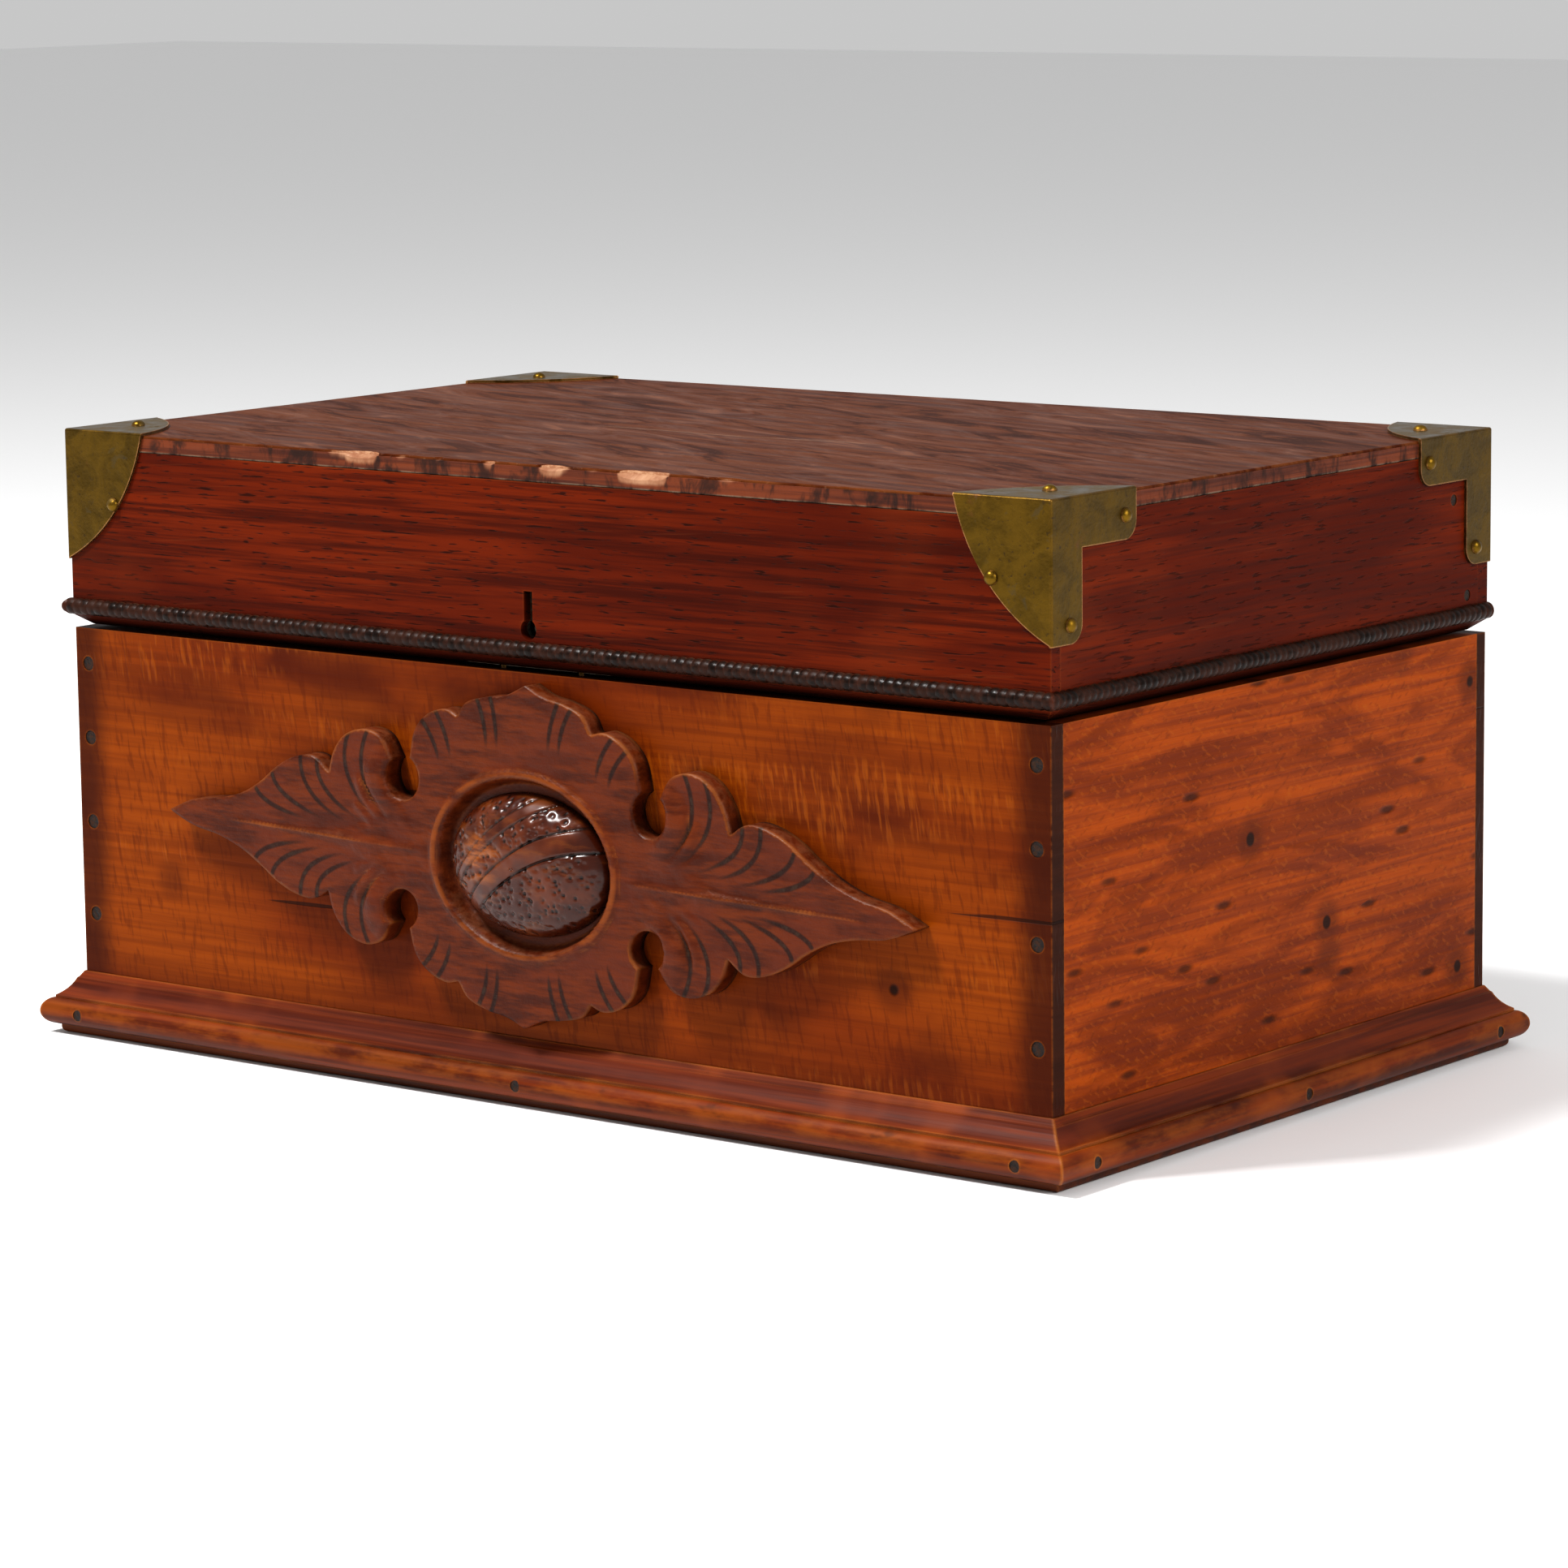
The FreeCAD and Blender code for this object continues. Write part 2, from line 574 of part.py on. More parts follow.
def brass_corner():
    """Corner for the front right of the lid, wrapped round the lid's own corner at the origin."""
    t = BRASS_T
    top = curved_plate(BRASS_WIDE + t, BRASS_LONG + t).extrude(V(0, 0, t))
    top = top.mirror(V(0, 0, 0), V(1, 0, 0))
    front = curved_plate(BRASS_WIDE + t, BRASS_LONG + t).extrude(V(0, 0, t))
    front.rotate(V(0, 0, 0), V(1, 0, 0), -90)
    front = front.mirror(V(0, 0, 0), V(1, 0, 0))
    front.translate(V(0, 0, t))
    long = BRASS_LONG + t
    arm = BRASS_ARM + t
    side = block(-t, 0, 0, long, t - arm, t).fuse(block(-t, 0, 0, arm, t - long, t)).removeSplitter()
    ends = [e for e in side.Edges if abs(e.BoundBox.XLength - t) < 1e-6
            and abs(e.BoundBox.ZMin + (arm - t)) < 1e-6 and abs(e.BoundBox.YMin - long) < 1e-6]
    ends += [e for e in side.Edges if abs(e.BoundBox.XLength - t) < 1e-6
             and abs(e.BoundBox.ZMin + (long - t)) < 1e-6 and abs(e.BoundBox.YMin - arm) < 1e-6]
    side = side.makeFillet(BRASS_ARM_ROUND, ends)
    body = top.fuse(front).fuse(side).removeSplitter()
    bends = []
    for e in body.Edges:
        box = e.BoundBox
        on_top = abs(box.ZMin - t) < 1e-6
        if (abs(box.YMax) < 1e-6 and on_top and box.XLength > 1) or \
                (abs(box.XMin) < 1e-6 and on_top and box.YLength > 1) or \
                (abs(box.XMin) < 1e-6 and abs(box.YMax) < 1e-6 and box.ZLength > 1):
            bends.append(e)
    body = body.makeFillet(BRASS_ROUND, bends)
    body.translate(V(t, -t, 0))
    return body


def corner_pin_spots():
    """Pins of the front right corner, from the lid's corner: (offset, direction into the wood)."""
    arm = BRASS_ARM / 2
    return [((-PIN_FRONT[0], 0, -PIN_FRONT[1]), (0, 1, 0)),
            ((0, PIN_ARM_RUN, -arm), (-1, 0, 0)),
            ((0, arm + PIN_ARM_SHIFT, -PIN_ARM_RUN), (-1, 0, 0)),
            ((-PIN_TOP[0], PIN_TOP[1], 0), (0, 0, -1))]


def corner_pin(spot, direction):
    """Round-headed pin: its head's underside lies on the brass."""
    d = V(*direction)
    seat = V(*spot) - d * BRASS_T
    dome = Part.makeSphere(PIN_HEAD_R, V(0, 0, 0), V(0, 0, 1), 0, 90, 360)
    m = FreeCAD.Matrix()
    m.scale(V(1, 1, PIN_HEAD_H / PIN_HEAD_R))
    dome = dome.transformGeometry(m)
    dome.Placement = FreeCAD.Placement(seat, FreeCAD.Rotation(V(0, 0, 1), d * -1))
    return dome.fuse(rod(seat, direction, PIN_SHANK_R, PIN_SHANK_L + BRASS_T))


def at_corner(shape, sx, sy):
    """Copy a front-right corner shape, made about the origin, to one of the lid's four corners."""
    copy = shape.copy()
    copy.translate(V(LID_HALF_W, -LID_HALF_D, LID_TOP))
    if sx < 0:
        copy = copy.mirror(V(0, 0, 0), V(1, 0, 0))
    if sy > 0:
        copy = copy.mirror(V(0, 0, 0), V(0, 1, 0))
    return copy


# ---- hinges -------------------------------------------------------------------------------------
def hinge_leaf(x, upper):
    """One leaf with its share of the knuckles; the upper leaf's knuckles run on the pin."""
    z0 = LID_Z if upper else CASE_H - LEAF_T
    leaf_end = HINGE_Y - KNUCKLE_R - KNUCKLE_GAP
    leaf = block(x - HINGE_L / 2, x + HINGE_L / 2, LEAF_IN, leaf_end, z0, z0 + LEAF_T)
    pitch = HINGE_L / KNUCKLES
    bore = HINGE_PIN_R + (HINGE_RUN if upper else 0.0)
    for i in range(KNUCKLES):
        if (i % 2 == 1) != upper:
            continue
        x0 = x - HINGE_L / 2 + i * pitch + (KNUCKLE_GAP / 2 if i else 0)
        x1 = x - HINGE_L / 2 + (i + 1) * pitch - (KNUCKLE_GAP / 2 if i < KNUCKLES - 1 else 0)
        leaf = leaf.fuse(rod((x0, HINGE_Y, HINGE_Z), (1, 0, 0), KNUCKLE_R, x1 - x0))
        leaf = leaf.fuse(block(x0, x1, leaf_end - 1, HINGE_Y, z0, z0 + LEAF_T))
    leaf = leaf.cut(rod((x - HINGE_L, HINGE_Y, HINGE_Z), (1, 0, 0), bore, 2 * HINGE_L))
    return drilled(leaf, [screw(*s) for s in hinge_screw_spots(x, upper)]).removeSplitter()


def hinge_screw_spots(x, upper):
    """Screws of one leaf, heads flush with the leaf's showing face."""
    z = LID_Z if upper else CASE_H
    d = (0, 0, 1) if upper else (0, 0, -1)
    return [((x + k * HINGE_SCREW_SPAN, HINGE_SCREW_Y, z), d) for k in (-1, 0, 1)]


# ---- lock ---------------------------------------------------------------------------------------
def staple_slots():
    """Slots in the lock's lower edge, where the staples come through."""
    half = STAPLE_T / 2 + LOCK_FIT
    deep = STAPLE_W / 2 + LOCK_FIT / 2
    return [block(x - half, x + half, LOCK_MID - deep, LOCK_MID + deep, LID_Z - 1, LID_Z + LOCK_PLATE_T + 1)
            for x in STAPLE_XS]


def lock_case():
    """Back plate with screw flanges, lower edge plate with slots, and the rim of the lock's box."""
    half = LOCK_W / 2
    t = LOCK_PLATE_T
    body = block(-half - LOCK_FLANGE, half + LOCK_FLANGE, LOCK_ROOM_BACK, LOCK_BACK, LID_Z, LOCK_TOP + LOCK_FLANGE)
    body = body.fuse(block(-half, half, LOCK_ROOM_FRONT, LOCK_ROOM_BACK, LID_Z, LOCK_TOP))
    room = block(-half + t, half - t, LOCK_ROOM_FRONT, LOCK_ROOM_BACK, LID_Z + t, LOCK_TOP - t)
    return drilled(body.cut(room), staple_slots() + [screw(*s) for s in lock_screw_spots()]).removeSplitter()


def lock_screw_spots():
    """Four screws through the lock's flanges into the lid's front board."""
    x = LOCK_W / 2 + LOCK_FLANGE / 2
    return [((s * x, LOCK_BACK, z), (0, -1, 0), LOCK_SCREW_L)
            for s in (-1, 1) for z in (LID_Z + LID_BEVEL_UP + LOCK_SCREW_UP, LOCK_TOP)]


def lock_cap():
    """Front plate of the lock's box, with the keyhole."""
    half = LOCK_W / 2
    cap = block(-half, half, LOCK_FRONT, LOCK_ROOM_FRONT, LID_Z + LOCK_PLATE_T, LOCK_TOP)
    return cap.cut(keyhole(LOCK_FRONT - 1, LOCK_ROOM_FRONT + 1))


def lock_pocket():
    """Room cut in the lid's front board for the lock."""
    half = LOCK_W / 2
    pocket = block(-half, half, LOCK_FRONT, LOCK_BACK + 1, LID_Z + LOCK_PLATE_T, LOCK_TOP)
    pocket = pocket.fuse(block(-half, half, LOCK_ROOM_FRONT, LOCK_BACK + 1, LID_Z - 1, LOCK_TOP))
    return pocket.fuse(block(-half - LOCK_FLANGE, half + LOCK_FLANGE, LOCK_ROOM_BACK, LOCK_BACK + 1, LID_Z - 1,
                             LOCK_TOP + LOCK_FLANGE))


def lock_bolt():
    """Bar above the key, with two legs whose prongs slide through the staples."""
    prong_z = PRONG_Z - PRONG_H / 2
    bar_z = KEY_Z + KEY_R + BOLT_BAR_UP
    legs = [x - STAPLE_T / 2 - PRONG_GAP - PRONG_L - BOLT_LEG_W for x in STAPLE_XS]
    y0 = LOCK_MID - BOLT_T / 2
    y1 = LOCK_MID + BOLT_T / 2
    body = block(legs[0], legs[-1] + BOLT_LEG_W, y0, y1, bar_z, bar_z + BOLT_BAR_H)
    for x in legs:
        body = body.fuse(block(x, x + BOLT_LEG_W, y0, y1, prong_z, bar_z))
        prong = block(x + BOLT_LEG_W, x + BOLT_LEG_W + PRONG_L, LOCK_MID - PRONG_T / 2, LOCK_MID + PRONG_T / 2,
                      prong_z, prong_z + PRONG_H)
        body = body.fuse(prong)
    return body.removeSplitter()


def link_plate():
    """Plate let into the case front board's top edge, with two pierced staples."""
    y0 = LOCK_MID - LINK_W / 2
    y1 = LOCK_MID + LINK_W / 2
    body = block(-LINK_L / 2, LINK_L / 2, y0, y1, CASE_H - LINK_T, CASE_H)
    eye_y = PRONG_T / 2 + LOCK_FIT
    eye_z = PRONG_H / 2 + LOCK_FIT
    for x in STAPLE_XS:
        staple = block(x - STAPLE_T / 2, x + STAPLE_T / 2, LOCK_MID - STAPLE_W / 2, LOCK_MID + STAPLE_W / 2,
                       CASE_H - LINK_T / 2, CASE_H + STAPLE_H)
        eye = block(x - STAPLE_T, x + STAPLE_T, LOCK_MID - eye_y, LOCK_MID + eye_y, PRONG_Z - eye_z,
                    PRONG_Z + eye_z)
        body = body.fuse(staple).cut(eye)
    return drilled(body, [screw(*s) for s in link_screw_spots()]).removeSplitter()


def link_screw_spots():
    """Screws at both ends of the link plate."""
    return [((s * (LINK_L / 2 - LINK_SCREW_IN), LOCK_MID, CASE_H), (0, 0, -1)) for s in (-1, 1)]


# ---- tray and linings ---------------------------------------------------------------------------
def soft_block(x0, x1, y0, y1, z0, z1, radius):
    """A pad: a block with its upright and top edges rounded."""
    pad = block(x0, x1, y0, y1, z0, z1)
    edges = [e for e in pad.Edges if e.BoundBox.ZMax > z0 + 0.01]
    return pad.makeFillet(radius, edges)


def cells():
    """Inside of each tray compartment as (x0, x1, y0, y1), and the dividers between them."""
    in_w = TRAY_W - TRAY_T
    in_d = TRAY_D - TRAY_T
    found = []
    dividers = []
    rows = ((FRONT_CELLS, -in_d, TRAY_LONG_Y), (BACK_CELLS, TRAY_LONG_Y + DIVIDER_T, in_d))
    for count, y0, y1 in rows:
        width = (2 * in_w - (count - 1) * DIVIDER_T) / count
        for i in range(count):
            x0 = -in_w + i * (width + DIVIDER_T)
            found.append((x0, x0 + width, y0, y1))
            if i:
                dividers.append((x0 - DIVIDER_T, x0, y0, y1))
    return found, dividers


def tray_knob(x):
    """Turned knob that stands on the long divider, with a stem let into its top edge."""
    neck = KNOB_R * 0.4
    foot = KNOB_R * 0.6
    ball = KNOB_H - KNOB_R
    neck_top = V(neck, 0, ball - math.sqrt(KNOB_R ** 2 - neck ** 2))
    p = [V(0, 0, 0), V(foot, 0, 0), V(foot, 0, neck_top.z / 2), neck_top]
    edges = [line(p[0], p[1]), line(p[1], p[2]), line(p[2], p[3]),
             arc(neck_top, V(KNOB_R, 0, ball), V(0, 0, KNOB_H)), line(V(0, 0, KNOB_H), p[0])]
    body = Part.Face(Part.Wire(edges)).revolve(V(0, 0, 0), V(0, 0, 1), 360)
    body = body.fuse(rod((0, 0, -KNOB_STEM_L), (0, 0, 1), KNOB_STEM_R, KNOB_STEM_L))
    body.translate(V(x, TRAY_LONG_Y + DIVIDER_T / 2, TRAY_TOP - DIVIDER_DROP))
    return body


# ---- build --------------------------------------------------------------------------------------
def build_case():
    front, back, left, right = end_boards(HALF_W, HALF_D, BASE_T, CASE_H, FRONT_LIP, BACK_LIP)
    nails = case_nails()
    holes = [nail_hole(p, d, *CASE_NAIL) for p, d in nails]
    seats = [block(s * HINGE_X - HINGE_L / 2, s * HINGE_X + HINGE_L / 2, LEAF_IN, HALF_D + 1, CASE_H - LEAF_T,
                   CASE_H + 1) for s in (-1, 1)]
    low_screws = [screw(*s) for x in (-HINGE_X, HINGE_X) for s in hinge_screw_spots(x, False)]
    link_seat = block(-LINK_L / 2, LINK_L / 2, LOCK_MID - LINK_W / 2, LOCK_MID + LINK_W / 2, CASE_H - LINK_T,
                      CASE_H + 1)
    link_screws = [screw(*s) for s in link_screw_spots()]
    save(drilled(front, holes + [link_seat] + link_screws), "case_front_board")
    save(drilled(back, holes + seats + low_screws), "case_back_board")
    save(drilled(left, holes), "case_left_board")
    save(drilled(right, holes), "case_right_board")
    save(group([nail(p, d, *CASE_NAIL) for p, d in nails]), "case_nails")
    save(group(low_screws), "lower_hinge_screws")
    save(group(link_screws), "link_plate_screws")
    save(link_plate(), "link_plate")

    brads = brad_spots()
    brad_holes = [nail_hole(p, d, *BRAD) for p, d in brads]
    save(drilled(base_board(), brad_holes), "base_board")
    section = mould_profile()
    out = BULLNOSE_OUT + BULLNOSE_R + 2
    for node, half_run, face_at, turns in (
            ("base_moulding_front", HALF_W, HALF_D, 0), ("base_moulding_right", HALF_D, HALF_W, 1),
            ("base_moulding_back", HALF_W, HALF_D, 2), ("base_moulding_left", HALF_D, HALF_W, 3)):
        save(drilled(turned(mitred_length(section, half_run, face_at, out), turns), brad_holes), node)
    save(group([nail(p, d, *BRAD) for p, d in brads]), "moulding_nails")
    save(carved_ornament(), "carved_ornament")
    save(carved_nut(), "carved_nut")
    for s, node in ((-1, "hinge_leaf_lower_left"), (1, "hinge_leaf_lower_right")):
        save(hinge_leaf(s * HINGE_X, False), node)
    pins = [rod((s * HINGE_X - HINGE_L / 2, HINGE_Y, HINGE_Z), (1, 0, 0), HINGE_PIN_R, HINGE_L) for s in (-1, 1)]
    save(group(pins), "hinge_pins")


def build_inside():
    for s, node in ((-1, "tray_ledger_left"), (1, "tray_ledger_right")):
        x0, x1 = sorted((s * IN_W, s * (IN_W - LEDGER)))
        save(block(x0, x1, -IN_D, IN_D, TRAY_Z - PAD_CLEAR - LEDGER, TRAY_Z - PAD_CLEAR), node)
    x = IN_W - PAD_CLEAR
    y = IN_D - PAD_CLEAR
    save(soft_block(-x, x, -y, y, BASE_T, BASE_T + PAD_T, PAD_ROUND), "case_floor_pad")


def build_lid():
    front, back, left, right = end_boards(LID_HALF_W, LID_HALF_D, LID_Z, TOP_BOARD_Z, LID_FRONT_LIP, LID_BACK_LIP)
    bevel = lid_bevel()
    pins = [at_corner(corner_pin(*p), sx, sy) for sx in (-1, 1) for sy in (-1, 1) for p in corner_pin_spots()]
    nails = lid_nails()
    holes = [nail_hole(p, d, *LID_NAIL) for p, d in nails]
    screws = [screw(*s) for x in (-HINGE_X, HINGE_X) for s in hinge_screw_spots(x, True)]
    seats = [block(s * HINGE_X - HINGE_L / 2, s * HINGE_X + HINGE_L / 2, LEAF_IN, LID_HALF_D + 1, LID_Z - 1,
                   LID_Z + LEAF_T) for s in (-1, 1)]
    lock_screws = [screw(*s) for s in lock_screw_spots()]
    hole = keyhole(-LID_HALF_D - 1, LOCK_FRONT + 1)
    save(drilled(front, [bevel, lock_pocket(), hole] + lock_screws + pins), "lid_front_board")
    save(drilled(back, [bevel] + seats + screws + pins), "lid_back_board")
    save(drilled(left, [bevel] + holes + pins), "lid_left_board")
    save(drilled(right, [bevel] + holes + pins), "lid_right_board")
    top = block(-LID_HALF_W, LID_HALF_W, -LID_HALF_D, LID_HALF_D, TOP_BOARD_Z, VENEER_Z)
    save(drilled(top, pins), "lid_top_board")
    veneer = block(-LID_HALF_W, LID_HALF_W, -LID_HALF_D, LID_HALF_D, VENEER_Z, LID_TOP)
    save(drilled(veneer, pins), "lid_top_veneer")
    save(group([nail(p, d, *LID_NAIL) for p, d in nails]), "lid_nails")
    save(group(screws), "upper_hinge_screws")
    save(group(lock_screws), "lock_screws")
    save(group(pins), "corner_pins")

    save(bead_length(LID_HALF_W, True, True, LID_HALF_D), "bead_front")
    save(turned(bead_length(LID_HALF_D, True, False, LID_HALF_W), 1), "bead_right")
    save(turned(bead_length(LID_HALF_D, False, True, LID_HALF_W), 3), "bead_left")

    corner = brass_corner()
    for sx, across in ((-1, "left"), (1, "right")):
        for sy, along in ((-1, "front"), (1, "back")):
            save(drilled(at_corner(corner, sx, sy), pins), "corner_brass_%s_%s" % (along, across))
    for s, node in ((-1, "hinge_leaf_upper_left"), (1, "hinge_leaf_upper_right")):
        save(hinge_leaf(s * HINGE_X, True), node)
    save(lock_case(), "lock_case")
    save(lock_cap(), "lock_cap")
    save(rod((0, LOCK_ROOM_FRONT, KEY_Z), (0, 1, 0), KEY_POST_R, LOCK_ROOM), "lock_key_post")
    save(lock_bolt(), "lock_bolt")
    x = LID_HALF_W - WALL - PAD_CLEAR
    y = LID_HALF_D - WALL - PAD_CLEAR
    pad = soft_block(-x, x, -y, y, -TOP_BOARD_Z, -TOP_BOARD_Z + PAD_T, PAD_ROUND)
    save(pad.mirror(V(0, 0, 0), V(0, 0, 1)), "lid_pad")


def build_tray():
    x = TRAY_W
    y = TRAY_D
    t = TRAY_T
    save(block(-x, x, -y, -y + t, TRAY_Z, TRAY_TOP), "tray_front_board")
    save(block(-x, x, y - t, y, TRAY_Z, TRAY_TOP), "tray_back_board")
    save(block(-x, -x + t, -y + t, y - t, TRAY_Z, TRAY_TOP), "tray_left_board")
    save(block(x - t, x, -y + t, y - t, TRAY_Z, TRAY_TOP), "tray_right_board")
    save(block(-x + t, x - t, -y + t, y - t, TRAY_Z, TRAY_Z + TRAY_BOTTOM_T), "tray_bottom")
    floor = TRAY_Z + TRAY_BOTTOM_T
    high = TRAY_TOP - DIVIDER_DROP
    knobs = [tray_knob(s * KNOB_X) for s in (-1, 1)]
    save(drilled(block(-x + t, x - t, TRAY_LONG_Y, TRAY_LONG_Y + DIVIDER_T, floor, high), knobs),
         "tray_long_divider")
    save(group(knobs), "tray_knobs")
    rooms, dividers = cells()
    save(group([block(*d, floor, high) for d in dividers]), "tray_cross_dividers")
    pads = [soft_block(x0 + PAD_CLEAR, x1 - PAD_CLEAR, y0 + PAD_CLEAR, y1 - PAD_CLEAR, floor, floor + PAD_T,
                       PAD_ROUND) for x0, x1, y0, y1 in rooms]
    save(group(pads), "tray_pads")


build_case()
build_inside()
build_lid()
build_tray()
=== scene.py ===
"""Looks of a wooden jewelry box with a carved front, a brass-cornered lid and a lift-out tray.

Everything is in metres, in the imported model's frame: origin under the box, +Y to the back, +Z up.
"""
import math

import bpy
import numpy as np
from mathutils import Matrix, Vector
from mathutils.geometry import delaunay_2d_cdt


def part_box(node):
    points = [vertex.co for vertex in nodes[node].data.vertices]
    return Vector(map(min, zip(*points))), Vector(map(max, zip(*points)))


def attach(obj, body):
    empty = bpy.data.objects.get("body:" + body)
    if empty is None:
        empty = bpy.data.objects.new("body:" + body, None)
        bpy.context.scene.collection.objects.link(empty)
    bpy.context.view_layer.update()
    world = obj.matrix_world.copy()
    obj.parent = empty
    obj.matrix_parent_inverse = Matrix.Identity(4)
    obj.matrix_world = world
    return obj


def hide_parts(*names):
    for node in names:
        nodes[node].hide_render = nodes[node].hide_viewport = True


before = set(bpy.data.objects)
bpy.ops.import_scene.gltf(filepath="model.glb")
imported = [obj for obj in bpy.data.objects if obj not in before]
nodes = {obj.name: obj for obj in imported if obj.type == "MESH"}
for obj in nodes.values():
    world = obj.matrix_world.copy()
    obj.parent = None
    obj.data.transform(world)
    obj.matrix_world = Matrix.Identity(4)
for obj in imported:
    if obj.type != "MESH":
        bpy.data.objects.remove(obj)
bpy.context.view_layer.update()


# ---- studio ----------------------------------------------------------------------------------------
# A pale floor, a white surround and two large soft lamps.  None of it is part of the box.
# A long lens looks down on the front and the right side from a little over the lid.
floor_mesh = bpy.data.meshes.new("floor")
floor_mesh.from_pydata([(-6, -6, 0), (6, -6, 0), (6, 6, 0), (-6, 6, 0)], [], [(0, 1, 2, 3)])
floor = bpy.data.objects.new("floor", floor_mesh)
bpy.context.scene.collection.objects.link(floor)
floor_paint = bpy.data.materials.new("floor_paint")
floor_paint.use_nodes = True
floor_shader = floor_paint.node_tree.nodes["Principled BSDF"]
floor_shader.inputs["Base Color"].default_value = (0.90, 0.90, 0.90, 1)
floor_shader.inputs["Roughness"].default_value = 0.9
floor_mesh.materials.append(floor_paint)

surround = bpy.data.worlds.new("surround")
surround.use_nodes = True
surround.node_tree.nodes["Background"].inputs["Color"].default_value = (1.0, 1.0, 1.0, 1)
surround.node_tree.nodes["Background"].inputs["Strength"].default_value = 0.50
bpy.context.scene.world = surround
bpy.context.scene.view_settings.view_transform = "Standard"
bpy.context.scene.view_settings.look = "Medium High Contrast"


def soft_lamp(name, place, aim, size, watts):
    """A square lamp at a place, facing a point."""
    data = bpy.data.lights.new(name, "AREA")
    data.size = size
    data.energy = watts
    lamp = bpy.data.objects.new(name, data)
    bpy.context.scene.collection.objects.link(lamp)
    lamp.location = place
    lamp.rotation_euler = (Vector(aim) - Vector(place)).to_track_quat("-Z", "Y").to_euler()


soft_lamp("key_lamp", (-0.40, -0.75, 1.45), (0, 0, 0.08), 0.30, 34)
soft_lamp("side_lamp", (1.7, -0.2, 1.0), (0, 0, 0.08), 0.8, 20)

LENS = 130.1
EYE_POINT = Vector((0.8609, -1.0932, 0.2910))
YAW, DIP, ROLL = (math.radians(a) for a in (38.10, 9.24, -0.695))
ahead = Vector((-math.sin(YAW) * math.cos(DIP), math.cos(YAW) * math.cos(DIP), -math.sin(DIP)))
level_right = Vector((math.cos(YAW), math.sin(YAW), 0))
level_up = level_right.cross(ahead)
cam_right = math.cos(ROLL) * level_right + math.sin(ROLL) * level_up
cam_up = -math.sin(ROLL) * level_right + math.cos(ROLL) * level_up
camera_data = bpy.data.cameras.new("camera")
camera_data.lens = LENS
camera_data.sensor_width = 36
camera = bpy.data.objects.new("camera", camera_data)
bpy.context.scene.collection.objects.link(camera)
facing = Matrix((cam_right, cam_up, -ahead)).transposed().to_4x4()
camera.matrix_world = Matrix.Translation(EYE_POINT) @ facing
bpy.context.scene.camera = camera


# ---- base board and base moulding ------------------------------------------------------------------
# A thin board whose rounded edge shows under a mitred moulding of four lengths: bullnose, quirk and cove.
# Stained like the case; the bullnose is rubbed golden, grey dust has settled in the grooves and painted shade
# darkens them.
VARNISH = (0.70, 0.68, 0.62)


